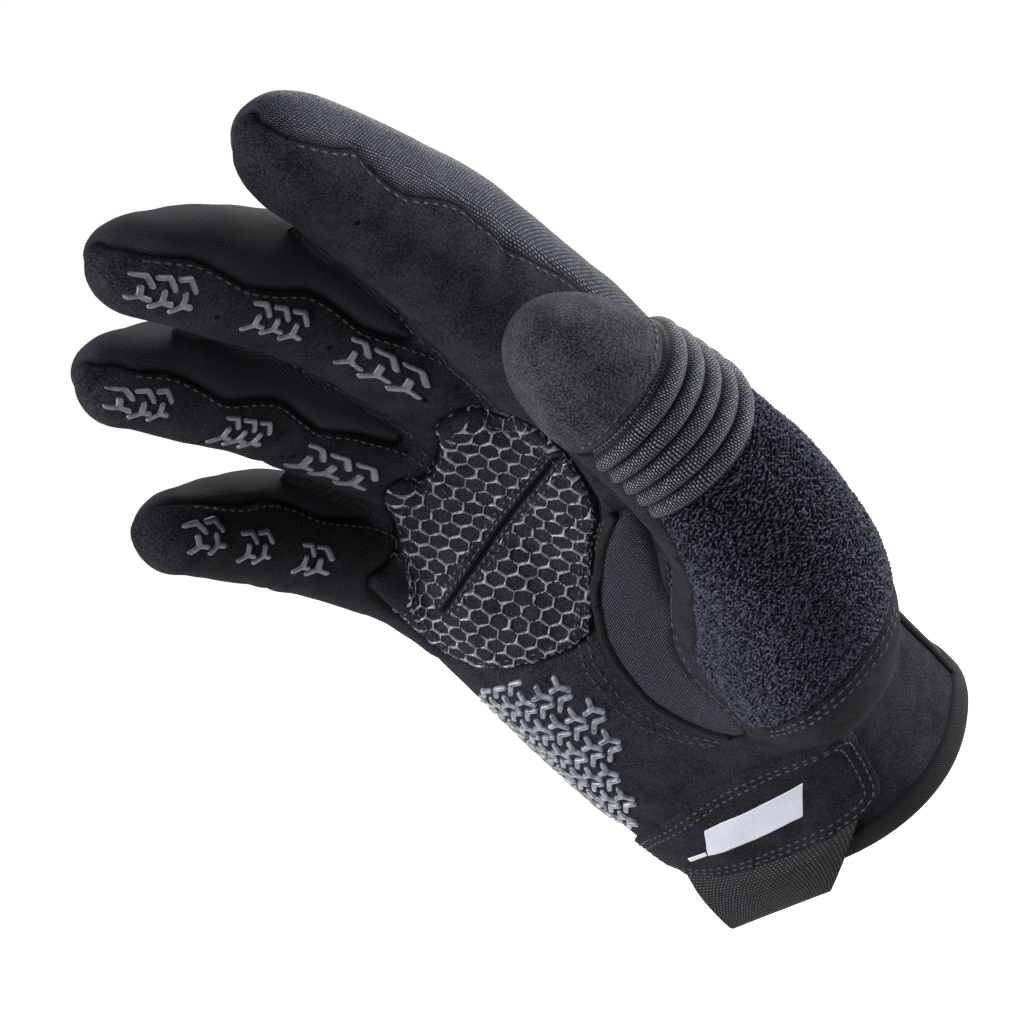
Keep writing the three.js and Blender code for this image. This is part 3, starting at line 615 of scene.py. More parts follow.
# painted shade: 1 in the seams' grooves, fading over shadeWidth; the paint darkens the colour there
skin["seam"] = np.exp(-(away / relief["shadeWidth"]) ** 2)
cover = BVHTree.FromPolygons([tuple(v) for v in skin["shaped"]], [tuple(t) for t in skin["tris"]])


def drape(points):
    found = [cover.find_nearest(p) for p in points]
    spot = np.array([f[0] for f in found])
    corner = skin["tris"][[f[2] for f in found]]
    a, b, c = (skin["shaped"][corner[:, k]] for k in range(3))
    area = [np.linalg.norm(np.cross(q - spot, r - spot), axis=1) for q, r in ((b, c), (c, a), (a, b))]
    total = np.maximum(sum(area), 1e-9)
    normal = sum(skin["normals"][corner[:, k]] * (area[k] / total)[:, None] for k in range(3))
    return spot, normal / np.linalg.norm(normal, axis=1, keepdims=True)


# Materials


def colour(code):
    parts = [int(code[i:i + 2], 16) / 255 for i in (1, 3, 5)]
    return tuple(p / 12.92 if p <= 0.04045 else ((p + 0.055) / 1.055) ** 2.4 for p in parts) + (1,)


def addNode(tree, kind, inputs=(), **settings):
    node = tree.nodes.new(kind)
    for key, value in settings.items():
        setattr(node, key, value)
    for key, value in dict(inputs).items():
        if isinstance(value, bpy.types.NodeSocket):
            tree.links.new(value, node.inputs[key])
        else:
            node.inputs[key].default_value = value
    return node


def newMaterial(name, base, roughness, sheen=0.0, specular=0.5):
    material = bpy.data.materials.new(name)
    material.use_nodes = True
    shader = material.node_tree.nodes["Principled BSDF"]
    shader.inputs["Base Color"].default_value = colour(base)
    shader.inputs["Roughness"].default_value = roughness
    shader.inputs["Sheen Weight"].default_value = sheen
    shader.inputs["Sheen Roughness"].default_value = 0.45
    shader.inputs["Specular IOR Level"].default_value = specular
    return material, material.node_tree, shader


def paint(tree, shader, share, dark, light):
    seam = addNode(tree, "ShaderNodeAttribute", attribute_name="seam")  # 1 in the grooves of sewn seams and the ribs' valleys, where the colour is darkened as painted shade
    closed = addNode(tree, "ShaderNodeMath", {0: seam.outputs["Fac"], 1: -1.0}, operation="MULTIPLY")
    shaded = addNode(tree, "ShaderNodeMath", {0: share, 1: closed.outputs[0], 2: share},
                     operation="MULTIPLY_ADD")
    mix = addNode(tree, "ShaderNodeMix", {0: shaded.outputs[0], 6: colour(dark), 7: colour(light)},
                  data_type="RGBA")
    tree.links.new(mix.outputs[2], shader.inputs["Base Color"])
    return mix


def bumped(tree, shader, height, depth, strength=1.0):
    bump = addNode(tree, "ShaderNodeBump", {"Height": height, "Distance": depth * mm, "Strength": strength})
    tree.links.new(bump.outputs["Normal"], shader.inputs["Normal"])


def rescaled(tree, value, low, high):
    return addNode(tree, "ShaderNodeMapRange", {"Value": value, "From Min": low, "From Max": high}).outputs[0]


def objectSpot(tree):
    return addNode(tree, "ShaderNodeTexCoord").outputs["Object"]


def clothSpot(tree, turn):
    spot = addNode(tree, "ShaderNodeUVMap", uv_map="cloth").outputs["UV"]
    turned = addNode(tree, "ShaderNodeMapping", {"Vector": spot, "Rotation": (0, 0, math.radians(turn))})
    return spot, turned.outputs[0]


def mottle(tree, spot, size, detail=3.0, roughness=0.5):
    return addNode(tree, "ShaderNodeTexNoise", {"Vector": spot, "Scale": 1 / (size * mm), "Detail": detail,
                                                "Roughness": roughness})


def napMaterial(name, dark, light, sheen, pile):
    # brushed synthetic suede: a dull short nap, clouded where it was stroked, with stray pale fibres
    material, tree, shader = newMaterial(name, dark, 0.95, sheen, 0.06)
    spot = objectSpot(tree)
    nap = mottle(tree, spot, pile, roughness=0.75)
    cloud = rescaled(tree, mottle(tree, spot, 5).outputs["Fac"], 0.3, 0.7)
    stroked = addNode(tree, "ShaderNodeMath", {0: cloud, 1: 0.35, 2: 0.0}, operation="MULTIPLY_ADD")
    piled = addNode(tree, "ShaderNodeMath", {0: rescaled(tree, nap.outputs["Fac"], 0.43, 0.6), 1: 0.75,
                                             2: stroked.outputs[0]}, operation="MULTIPLY_ADD")
    fibre = addNode(tree, "ShaderNodeTexVoronoi", {"Vector": spot, "Scale": 1 / (1.5 * mm)})
    speck = rescaled(tree, fibre.outputs["Distance"], 0.16, 0.06)  # fibres about 0.2 mm across
    whole = addNode(tree, "ShaderNodeMath", {0: speck, 1: 1.1, 2: piled.outputs[0]}, operation="MULTIPLY_ADD")
    paint(tree, shader, whole.outputs[0], dark, light)
    bumped(tree, shader, nap.outputs["Fac"], 0.5, 1.0)
    return material


def wovenMaterial(name, dark, light, width, row, gap, depth, sheen, roughness=0.75, turn=0.0):
    # woven yarn: staggered floats of one thread over the next, with a painted highlight on their tops and
    # painted shade in the gaps between them
    material, tree, shader = newMaterial(name, dark, roughness, sheen, 0.14)
    spot, turned = clothSpot(tree, turn)
    wobble = mottle(tree, turned, 3, 2.0)
    moved = addNode(tree, "ShaderNodeVectorMath", {0: wobble.outputs["Color"], 1: (0.3 * mm,) * 3, 2: turned},
                    operation="MULTIPLY_ADD")
    weave = addNode(tree, "ShaderNodeTexBrick", {
        "Vector": moved.outputs[0], "Scale": 1 / mm, "Mortar Size": gap, "Mortar Smooth": 0.5,
        "Brick Width": width, "Row Height": row, "Color1": (1, 1, 1, 1), "Color2": (0.4, 0.4, 0.4, 1),
        "Mortar": (0, 0, 0, 1)})
    grain = mottle(tree, spot, 0.25, 2.0)
    mixed = addNode(tree, "ShaderNodeMath", {0: weave.outputs["Color"], 1: grain.outputs["Fac"]},
                    operation="MULTIPLY")
    share = addNode(tree, "ShaderNodeMath", {0: mixed.outputs[0], 1: 1.7}, operation="MULTIPLY")
    paint(tree, shader, share.outputs[0], dark, light)
    bumped(tree, shader, weave.outputs["Color"], depth)
    return material


def ribbedMaterial(name, dark, light, pitch, turn, depth):
    # fine twill or tape: thin slanting cords, with painted shade in the valleys between them
    material, tree, shader = newMaterial(name, dark, 0.8, 0.03, 0.12)
    spot, turned = clothSpot(tree, turn)
    cords = addNode(tree, "ShaderNodeTexWave", {"Vector": turned, "Distortion": 0.4, "Detail": 1.0,
                                                "Detail Scale": 2.0, "Scale": math.pi / 10 / (pitch * mm)},
                    wave_type="BANDS", bands_direction="X")
    grain = mottle(tree, spot, 0.5)
    mixed = addNode(tree, "ShaderNodeMath", {0: cords.outputs["Fac"], 1: grain.outputs["Fac"]},
                    operation="MULTIPLY")
    paint(tree, shader, mixed.outputs[0], dark, light)
    bumped(tree, shader, cords.outputs["Fac"], depth)
    return material


def siliconeMaterial(name, dark, light, smoothest, roughest):
    # screen-printed silicone: a grey rubber with slight ripples, wet on the palm and duller on the fingers
    material, tree, shader = newMaterial(name, dark, 0.3, 0.0, 0.6)
    film = mottle(tree, objectSpot(tree), 1.5)
    paint(tree, shader, rescaled(tree, film.outputs["Fac"], 0.35, 0.7), dark, light)
    rough = addNode(tree, "ShaderNodeMapRange", {"Value": film.outputs["Fac"], "To Min": smoothest,
                                                 "To Max": roughest})
    tree.links.new(rough.outputs[0], shader.inputs["Roughness"])
    bumped(tree, shader, film.outputs["Fac"], 0.1, 0.5)
    return material


def terryMaterial(name, dark, light):
    # cotton towelling: matt blue-black yarn, some loops lighter than others
    material, tree, shader = newMaterial(name, dark, 0.95, 0.03, 0.08)
    yarn = mottle(tree, objectSpot(tree), 0.8)
    paint(tree, shader, rescaled(tree, yarn.outputs["Fac"], 0.35, 0.75), dark, light)
    bumped(tree, shader, yarn.outputs["Fac"], 0.3)
    return material


def printMaterial():
    # heat-set print: a flat pale blue-grey film with the nap showing faintly through it
    material, tree, shader = newMaterial("write-on print", "#cfd2e0", 0.55, 0.0, 0.4)
    film = mottle(tree, objectSpot(tree), 0.9)
    paint(tree, shader, film.outputs["Fac"], "#bec1d0", "#d0d3e0")
    bumped(tree, shader, film.outputs["Fac"], 0.06)
    return material


def threadMaterial():
    # bonded polyester thread: a thin dark yarn with a dull shine
    material, tree, shader = newMaterial("sewing thread", "#1c1d20", 0.6, 0.02, 0.3)
    twist = mottle(tree, objectSpot(tree), 0.6, 2.0)
    paint(tree, shader, twist.outputs["Fac"], "#0d0d0f", "#46474f")
    bumped(tree, shader, twist.outputs["Fac"], 0.1)
    return material


suede = napMaterial("brushed suede", "#030304", "#37373f", sheen=0.01, pile=0.34)
# the cap's suede is paler: partly its own dusty tone, partly painted sheen where the light catches it
capSuedeSheen = napMaterial("thumb cap suede with painted sheen", "#060607", "#525259", sheen=0.02, pile=0.34)
strapSuede = napMaterial("pull tab suede", "#020203", "#36363d", sheen=0.01, pile=0.34)
printedSuede = napMaterial("printed suede", "#020203", "#37373f", sheen=0.01, pile=0.34)
# painted shade: near-black for the insides of the vent holes and the slit's groove
holeShade = napMaterial("painted hole shade", "#000000", "#060607", sheen=0.0, pile=0.36)
airMesh = wovenMaterial("woven air mesh", "#030406", "#7b7f94", width=0.66, row=0.44, gap=0.16, depth=0.3,
                        sheen=0.03)
ribKnit = wovenMaterial("elastic rib knit", "#020204", "#a3a7bb", width=0.7, row=0.4, gap=0.15, depth=0.25,
                        sheen=0.03, roughness=0.7)
twillCloth = wovenMaterial("gusset oxford cloth", "#020305", "#7f829b", width=0.6, row=0.44, gap=0.19,
                           depth=0.3, sheen=0.02)
webbing = wovenMaterial("nylon webbing", "#010102", "#686973", width=0.8, row=0.6, gap=0.24, depth=0.4,
                        sheen=0.02, roughness=0.6, turn=90)
stretchCloth = ribbedMaterial("stretch twill", "#050607", "#585d6b", pitch=0.42, turn=65, depth=0.12)
tape = ribbedMaterial("binding tape", "#050506", "#2c2d33", pitch=0.4, turn=50, depth=0.12)
linerCloth = ribbedMaterial("liner jersey", "#0c0c0f", "#2c2d33", pitch=0.8, turn=90, depth=0.1)
# the light tone is partly the rubber's own pale grey, partly painted highlight raised for the gloss on the
# heel and the grid
siliconeWithPaintedGloss = siliconeMaterial("silicone print with painted highlight", "#3c3f48", "#858995", smoothest=0.14, roughest=0.34)
mattSilicone = siliconeMaterial("finger print", "#3a3c43", "#62656e", smoothest=0.4, roughest=0.55)
terry = terryMaterial("cotton towelling", "#0b0b11", "#585a6d")
# painted shade: the ground between the loops is darkened to stand for the shade among them
terryGroundShade = terryMaterial("towelling ground in painted shade", "#020203", "#0c0d12")
namePrint = printMaterial()
thread = threadMaterial()

# Pieces cut from the form


def addPiece(name, verts, tris, material, nodes=(), uv=None, seam=None):
    mesh = bpy.data.meshes.new(name)
    mesh.vertices.add(len(verts))
    mesh.vertices.foreach_set("co", (np.asarray(verts) * mm).ravel())
    mesh.loops.add(len(tris) * 3)
    mesh.loops.foreach_set("vertex_index", np.asarray(tris).ravel())
    mesh.polygons.add(len(tris))
    mesh.polygons.foreach_set("loop_start", np.arange(0, len(tris) * 3, 3))
    if uv is not None:
        layer = mesh.uv_layers.new(name="cloth")
        layer.data.foreach_set("uv", (uv * mm).ravel())
    # the seam attribute carries painted shade for the grooves and the ribs' valleys
    if seam is not None:
        mesh.attributes.new("seam", "FLOAT", "POINT").data.foreach_set("value", seam.astype(np.float32))
    mesh.update(calc_edges=True)
    mesh.shade_smooth()
    mesh.materials.append(material)
    obj = linked(bpy.data.objects.new(name, mesh))
    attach(obj, "root")
    if nodes:
        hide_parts(*nodes)
    return obj


def addShape(name, shape, material, nodes):
    verts, tris, uv = shape
    return addPiece(name, verts, tris, material, nodes, uv)


def clothUv(verts, tris, names):
    found = {name: locate(verts, name) for name in names}
    pick = np.stack([found[name][0][tris].mean(1) for name in names], 1).argmin(1)
    uv = np.zeros((len(tris), 3, 2))
    for k, name in enumerate(names):
        mine = tris[pick == k]
        _, s, a = found[name]
        around = np.degrees(a[mine]) % 360
        around = np.where(around < around.max(1, keepdims=True) - 180, around + 360, around)
        uv[pick == k, :, 0] = s[mine] * (1 if name == "hand" else stationLength[name])
        uv[pick == k, :, 1] = np.radians(around) * (handRadius if name == "hand" else limbRadius)
    return uv.reshape(-1, 2)


def panel(name, part, material, nodes, names=()):
    used, faces = compact(skin["tris"][label == part])
    uv = clothUv(skin["verts"][used], faces, names) if names else None
    return addPiece(name, skin["shaped"][used], faces, material, nodes, uv, skin["seam"][used])


suedeNodes = ("palm_panel", "index_face", "middle_face", "ring_face", "pinky_face")
panel("suede_palm", "palm", suede, suedeNodes)
panel("grip_panel", "grip", printedSuede, ("palm_grip",))
panel("back_mesh", "back", airMesh, ("back_panel",), ["hand"])
panel("index_mesh", "index", airMesh, ("index_back",), ["index"])
panel("finger_backs", "fingers", stretchCloth, ("middle_back", "ring_back", "pinky_back"),
      ["middle", "ring", "pinky"])
panel("thumb_tip", "cap", capSuedeSheen, ("thumb_cap",))
panel("thumb_side", "front", suede, ("thumb_front",))
towelBase = panel("towel_base", "towel", terryGroundShade, ("thumb_towel",), ["thumb"])
panel("gusset_twill", "gusset", twillCloth, ("thumb_gusset",), ["hand"])
panel("rib_base", "ribs", ribKnit, ("thumb_ribs",), ["thumb"])
print("panels placed")


def gridTris(rows, columns):
    i, j = np.meshgrid(np.arange(rows - 1), np.arange(columns - 1), indexing="ij")
    a = (i * columns + j).ravel()
    quads = np.stack([a, a + 1, a + columns + 1, a + columns], 1)
    return np.vstack([quads[:, [0, 1, 2]], quads[:, [0, 2, 3]]])


ribs = {"rows": 90, "columns": 260, "under": 0.02, "over": 0.015, "skin": 0.25, "tuck": 0.5}


def ribBand():
    rows, columns = ribs["rows"], ribs["columns"]
    u = np.linspace(0, 1, rows)[:, None]
    v = np.linspace(0, 1, columns)[None, :]
    first, last = thumb["ribSeam"] - ribs["under"], thumb["capSeam"] + ribs["over"]
    station = first + (last - first) * u
    start = np.interp(station, *np.array(thumb["edge"]).T)
    angle = start + (360 + thumb["innerEdge"] - start) * v
    share = (station - thumb["ribSeam"]) / (thumb["capSeam"] - thumb["ribSeam"])
    wave = np.abs(np.sin(math.pi * thumb["ribs"] * share))
    swell = thumb["ribHeight"] * wave**0.6
    tuck = np.clip(np.minimum(v, 1 - v) / 0.02, 0, 1) * np.clip(np.minimum(u, 1 - u) / 0.03, 0, 1)
    lift = (swell + ribs["skin"]) * tuck - ribs["tuck"] * (1 - tuck)
    points = thumbSurface(station + v * 0, np.radians(angle), -lift).reshape(-1, 3)
    tris = gridTris(rows, columns)
    stretched = 1.35 * stationLength["thumb"]  # the cloth goes up and down over the ribs
    uv = np.stack([(station + v * 0) * stretched, np.radians(angle) * limbRadius + u * 0], -1).reshape(-1, 2)
    # painted shade: the colour darkens in the valleys between the ribs
    valleyShade = np.exp(-((wave + v * 0) / 0.45) ** 2).ravel()
    return points, tris, uv[tris].reshape(-1, 2), valleyShade


points, faces, uv, valleyShade = ribBand()
thumbCore = np.array([58, -31, 122])
if faceNormals(points, faces[:1])[0] @ (points[faces[0, 0]] - thumbCore) < 0:
    faces, uv = faces[:, ::-1], uv.reshape(-1, 3, 2)[:, ::-1].reshape(-1, 2)
addPiece("rib_band", points, faces, ribKnit, ("thumb_ribs",), uv, valleyShade)

# Flat shapes laid on the form: prints, the strap and its bar


def reliefPatch(place, field, box, step, height, roundOff=0.0, base=0.0, wall=0.35):
    u = np.arange(box[0], box[2] + step, step)
    v = np.arange(box[1], box[3] + step, step)
    uu, vv = np.meshgrid(u, v, indexing="ij")
    tris = gridTris(len(u), len(v))
    value = field(uu.ravel(), vv.ravel())
    tris = tris[(value[tris] > -step).any(1)]
    flat = {"verts": np.stack([uu.ravel(), vv.ravel(), np.zeros(uu.size)], 1), "tris": tris,
            "fields": {"shape": value.astype(float)}}
    cutAlong(flat, "shape")
    inside = flat["fields"]["shape"][flat["tris"]].mean(1) > 0
    used, tris = compact(flat["tris"][inside])
    plan, value = flat["verts"][used], flat["fields"]["shape"][used]
    spot, normal = drape(place(plan[:, 0], plan[:, 1]))
    rise = np.full(len(spot), height)
    if roundOff:
        rise = height * np.sqrt(np.maximum(0, 1 - (1 - np.clip(value / roundOff, 0, 1)) ** 2))
    top = spot + normal * (base + rise)[:, None]
    if (faceNormals(top, tris) * normal[tris[:, 0]]).sum() < 0:
        tris = tris[:, ::-1]
    edges, triEdges = edgesOf(tris)
    single = np.bincount(triEdges.ravel(), minlength=len(edges)) == 1
    sides = np.vstack([tris[:, [0, 1]], tris[:, [1, 2]], tris[:, [2, 0]]])
    rim = sides[single[triEdges.T.ravel()]]
    rimVerts, index = np.unique(rim, return_inverse=True)
    low = index.reshape(-1, 2) + len(top)
    foot = spot[rimVerts] + normal[rimVerts] * (base - wall)
    walls = np.vstack([np.stack([rim[:, 0], low[:, 0], low[:, 1]], 1),
                       np.stack([rim[:, 0], low[:, 1], rim[:, 1]], 1)])
    allPlan = np.vstack([plan[:, :2], plan[rimVerts, :2]])
    allTris = np.vstack([tris, walls])
    return np.vstack([top, foot]), allTris, allPlan[allTris].reshape(-1, 2)


def boxAround(line, margin):
    return (*(line.min(0) - margin), *(line.max(0) + margin))


def joinMeshes(parts):
    start, verts, tris, uvs = 0, [], [], []
    for v, t, uv in parts:
        verts.append(v)
        tris.append(t + start)
        uvs.append(uv)
        start += len(v)
    return np.vstack(verts), np.vstack(tris), np.vstack(uvs)


def bars(u, v, segments, half):
    best = np.full(np.shape(u), 1e9)
    for ax, ay, bx, by in segments:
        ex, ey = bx - ax, by - ay
        t = np.clip(((u - ax) * ex + (v - ay) * ey) / (ex * ex + ey * ey), 0, 1)
        best = np.minimum(best, np.hypot(u - ax - t * ex, v - ay - t * ey))
    return half - best


tread = {  # sizes in mm before scaling; a row of Ys and a row of bent bars take turns
    "pitch": 3.4, "row": 3.0, "half": 0.47, "lean": 0.5, "height": 0.4, "scale": 1.28, "heelScale": 1.32,
    "heelHalf": 0.53, "heelHeight": 0.6, "heelColumns": (-14, 14), "heelRows": range(5, 22),
    "yShape": [(0, 0, 0.3, 1.65), (0, 0, -1.45, -0.15), (0, 0, 1.15, -1.2)],
    "chevron": [(-1.65, -0.75, -0.5, 0.8), (-0.5, 0.8, 1.2, 0.65)],
}


def treadField(u, v, scale, half, columns, rows, outline=None):  # columns is the first and the last to draw
    u, v = u / scale, v / scale
    best = np.full(np.shape(u), -9.0)
    for row in rows:
        cu = u - row * tread["lean"]
        shape = tread["chevron"] if row % 2 else tread["yShape"]
        for beside in (-1, 0, 1):  # a shape reaches into the cells next to its own
            cell = np.clip(np.floor(cu / tread["pitch"] + 0.5) + beside, *columns)
            inked = bars(cu - cell * tread["pitch"], v - row * tread["row"], shape, half)
            if outline is not None:  # only whole shapes
                centre = (cell * tread["pitch"] + row * tread["lean"]) * scale
                room = insidePolygon(centre, np.full(centre.shape, row * tread["row"] * scale), outline)
                inked = np.where(room > 1.0, inked, -9.0)
            best = np.maximum(best, inked)
    return best * scale


def handPlace(level):
    angles = np.radians(np.linspace(-150, 150, 601))
    line = handSurface(level, angles)
    arc = runningLength(line)
    arc -= np.interp(0, angles, arc)
    return (lambda u, v: handSurface(v, np.interp(u, arc, angles)),
            lambda degrees: np.interp(np.radians(degrees), angles, arc))


def fingerPlace(name, station, angle):
    surface, length = limbs[name][0], stationLength[name]
    half = float(halfWidth(name, station))
    return lambda u, v: surface(np.clip(station + u / length, 0.6, 3.99), math.radians(angle) + v / half)


fingerPrints = [  # limb, station, angle
    ("middle", 3.62, 38), ("middle", 2.67, 30), ("middle", 1.84, 24), ("ring", 3.68, 34), ("ring", 2.67, 14),
    ("ring", 1.8, 4), ("pinky", 3.6, 55), ("pinky", 3.0, 38), ("pinky", 2.1, 27)]


def fingerPrint(name, station, angle):
    few = name == "pinky"  # two columns there, three on the others
    aside = tread["pitch"] * tread["scale"] / 2 if few else 0
    middle = tread["row"] * tread["scale"] / 2

    def field(u, v):
        return treadField(u + aside, v + middle, tread["scale"], tread["half"], (0 if few else -1, 1), (0, 1))
    return reliefPatch(fingerPlace(name, station, angle), field, (-8, -6, 8, 6), step=0.26,
                       height=tread["height"], roundOff=0.3)


addShape("finger_prints", joinMeshes([fingerPrint(*row) for row in fingerPrints]), mattSilicone, ())

# small holes punched through the suede of the fingers, drawn as flat black discs of painted shade
vents = [("index", 3.14, 22), ("middle", 2.19, 20), ("middle", 3.14, 20), ("middle", 1.58, 14),
         ("ring", 2.08, 0), ("ring", 2.92, -9)]  # limb, station, angle
vent = {"radius": 0.55, "step": 0.15, "height": 0.03}


def ventField(u, v):
    return vent["radius"] - np.hypot(u, v)


addShape("vent_hole_shade", joinMeshes([
    reliefPatch(fingerPlace(*row), ventField, (-1, -1, 1, 1), vent["step"], vent["height"])
    for row in vents]), holeShade, ())

heelCorners = [(23, -50), (23, -32), (33, -20), (46, -10), (60, -6), (71, -8), (76, -22), (79, -36),
               (76, -46), (71, -54), (60, -58), (46, -60), (33, -58)]  # height, angle
onHeel, heelArc = handPlace(48)
heelLine = softClosed([(float(heelArc(a)), h) for h, a in heelCorners], 1)


def heelField(u, v):
    return treadField(u, v, tread["heelScale"], tread["heelHalf"], tread["heelColumns"],
                      tread["heelRows"], heelLine)


heelPrint = reliefPatch(onHeel, heelField, boxAround(heelLine, 3), step=0.28,
                        height=tread["heelHeight"], roundOff=0.42)
addShape("heel_tread", heelPrint, siliconeWithPaintedGloss, ("heel_grip",))
print("treads")

palmLine = softClosed(palmGrip["outline"], 1)
(slitX0, slitZ0), (slitX1, slitZ1) = palmGrip["slit"]


def fromSlit(x, z):
    ex, ez = slitX1 - slitX0, slitZ1 - slitZ0
    t = np.clip(((x - slitX0) * ex + (z - slitZ0) * ez) / (ex * ex + ez * ez), 0, 1)
    return np.hypot(x - slitX0 - t * ex, z - slitZ0 - t * ez)


def hexField(x, z):
    turn, pitch = math.radians(palmGrip["turn"]), palmGrip["pitch"]
    p = x * math.cos(turn) + z * math.sin(turn)
    q = z * math.cos(turn) - x * math.sin(turn)
    rowStep = pitch * math.sqrt(3) / 2
    best = np.full(np.shape(x), 1e9)
    for shift in (0, 1):
        r = np.floor((q / rowStep - shift) / 2 + 0.5) * 2 + shift
        cx = p - shift * pitch / 2
        cx = cx - np.floor(cx / pitch + 0.5) * pitch
        cy = q - r * rowStep
        size = np.maximum(np.abs(cx), np.maximum(np.abs(cx / 2 + cy * 0.866), np.abs(cx / 2 - cy * 0.866)))
        best = np.minimum(best, size)
    ridge = palmGrip["line"] / 2 - (pitch / 2 - best)
    thin = 0.12 * np.sin(x * 1.3 + 2 * np.sin(z * 0.9)) - 0.05  # the print is uneven
    ridge = np.minimum(ridge + thin, insidePolygon(x, z, palmLine) - palmGrip["edgeGap"])
    return np.minimum(ridge, fromSlit(x, z) - palmGrip["slitGap"])


def palmPlace(x, z):
    share = np.maximum(0, z) / 139
    height = z + share**3 * glove["knuckleDrop"] * (x - glove["knucklePeak"]) ** 2
    x0, _, side, _, _ = (smoothColumn(glove["hand"], k)(height) for k in range(1, 6))
    angle = np.arcsin(np.clip(signedPower((x - x0) / side, roundness / 2), -1, 1))
    return handSurface(height, angle)


honeycomb = reliefPatch(palmPlace, hexField, boxAround(palmLine, 1), step=0.26,
                        height=palmGrip["height"], roundOff=0.3)
addShape("hex_print", honeycomb, siliconeWithPaintedGloss, ())
print("honeycomb", len(honeycomb[1]))

strap = {  # corners as angle and height on the cuff
    "corners": [(-49, 3.5), (-38, 4.5), (-27, 5), (-7, 5.6), (9, 6.8), (29, 7.4), (38, 8.6), (44, 11),
                (47, 16), (49.5, 22), (50.5, 28), (50.5, 33), (47.5, 35.6), (38, 35.4), (16, 34.2),
                (-2, 31.8), (-27, 25.6), (-38, 20.6), (-49, 15.5)], "thick": 1.3, "barHeight": 0.08,
    "bar": [(-5.5, 23.6), (27, 25.3), (18.5, 16.6), (-12.5, 14.6)],
    "underline": [(-12, 16.1), (-12.8, 14.6), (-21.6, 12.8), (-21.2, 14.3)],
}
onCuff, cuffArc = handPlace(16)


def toCuff(corners):
    return np.array([(float(cuffArc(a)), h) for a, h in corners])


strapLine = softClosed(toCuff(strap["corners"]), 1)
barLine, underline = toCuff(strap["bar"]), toCuff(strap["underline"])


def strapField(u, w):
    return insidePolygon(u, w, strapLine)


def barField(u, w):
    return np.maximum(insidePolygon(u, w, barLine), insidePolygon(u, w, underline))


strapPatch = reliefPatch(onCuff, strapField, boxAround(strapLine, 1), step=0.4, height=strap["thick"],
                         roundOff=0.3, wall=0.6)
addShape("strap_suede", strapPatch, strapSuede, ("pull_strap",))
barPatch = reliefPatch(onCuff, barField, boxAround(np.vstack([barLine, underline]), 1), step=0.3,
                       height=strap["barHeight"], base=strap["thick"], wall=0.1)
addShape("write_on_bar", barPatch, namePrint, ("name_bar",))


def ringTris(rows, sides, closed):
    i, j = np.meshgrid(np.arange(rows if closed else rows - 1), np.arange(sides), indexing="ij")
    a, b = (i * sides + j).ravel(), (i * sides + (j + 1) % sides).ravel()
    c, d = ((i + 1) % rows * sides + (j + 1) % sides).ravel(), ((i + 1) % rows * sides + j).ravel()
    return np.vstack([np.stack([a, b, c], 1), np.stack([a, c, d], 1)])


def tube(path, normal, radius, flat=1.0, sides=10):
    tangent = np.gradient(path, axis=0)
    tangent /= np.linalg.norm(tangent, axis=1, keepdims=True)
    normal = normal - tangent * (normal * tangent).sum(1)[:, None]
    normal /= np.linalg.norm(normal, axis=1, keepdims=True)
    side = np.cross(tangent, normal)
    turn = np.linspace(0, 2 * math.pi, sides, endpoint=False)
    ring = (path[:, None] + normal[:, None] * (np.cos(turn) * radius * flat)[None, :, None]
            + side[:, None] * (np.sin(turn) * radius)[None, :, None])
    rows, verts = len(path), ring.reshape(-1, 3)
    k = np.arange(sides)
    last = (rows - 1) * sides
    caps = [np.stack([np.full(sides, len(verts)), (k + 1) % sides, k], 1),
            np.stack([np.full(sides, len(verts) + 1), last + k, last + (k + 1) % sides], 1)]
    tris = np.vstack([ringTris(rows, sides, False), *caps])
    verts = np.vstack([verts, path[[0, -1]]])
    if faceNormals(verts, tris[:1])[0] @ (verts[tris[0, 0]] - path[0]) < 0:
        tris = tris[:, ::-1]
    length = runningLength(path)
    plan = np.stack([np.repeat(length, sides), np.tile(turn * radius, rows)], 1)
    plan = np.vstack([plan, plan[[0, -1]]])
    return verts, tris, plan[tris].reshape(-1, 2)


def resample(points, step):
    p = np.array(points, float)
    length = runningLength(p)
    count = max(2, int(length[-1] / step) + 1)
    at = np.linspace(0, length[-1], count)
    return np.stack([np.interp(at, length, p[:, k]) for k in range(p.shape[1])], 1)


def smoothOpen(points, rounds=3):
    p = np.array(points, float)
    for _ in range(rounds):
        mid = np.stack([0.75 * p[:-1] + 0.25 * p[1:], 0.25 * p[:-1] + 0.75 * p[1:]], 1)
        p = np.vstack([p[:1], mid.reshape(-1, p.shape[1]), p[-1:]])
    return p


piping = {"radius": 1.0, "rise": 0.3}
slitShade = {"radius": 0.5, "flat": 0.4}
sideTape = {"from": 1.0, "to": 56, "halfWidth": 2.1, "flat": 0.55, "rise": 0.3}
alongStep = 0.8

gussetEdge = [handSurface(h, math.radians(a)) for h, a, _ in gusset[::-1]]
towelLow = np.array(thumb["towelSeam"])
pipeLine = resample(smoothOpen(gussetEdge, 2), alongStep)
spot, normal = drape(pipeLine)
for _ in range(4):
    spot[1:-1] = (spot[:-2] + spot[1:-1] + spot[2:]) / 3
cord = tube(spot + normal * piping["rise"], normal, piping["radius"])
addShape("gusset_piping", cord, tape, ("thumb_piping",))
# a flat black cord along the slit: painted shade in its groove
slitMiddle = resample(palmGrip["slit"], alongStep)
spot, normal = drape(palmPlace(slitMiddle[:, 0], slitMiddle[:, 1]))
addShape("slit_shade", tube(spot, normal, **slitShade), holeShade, ())


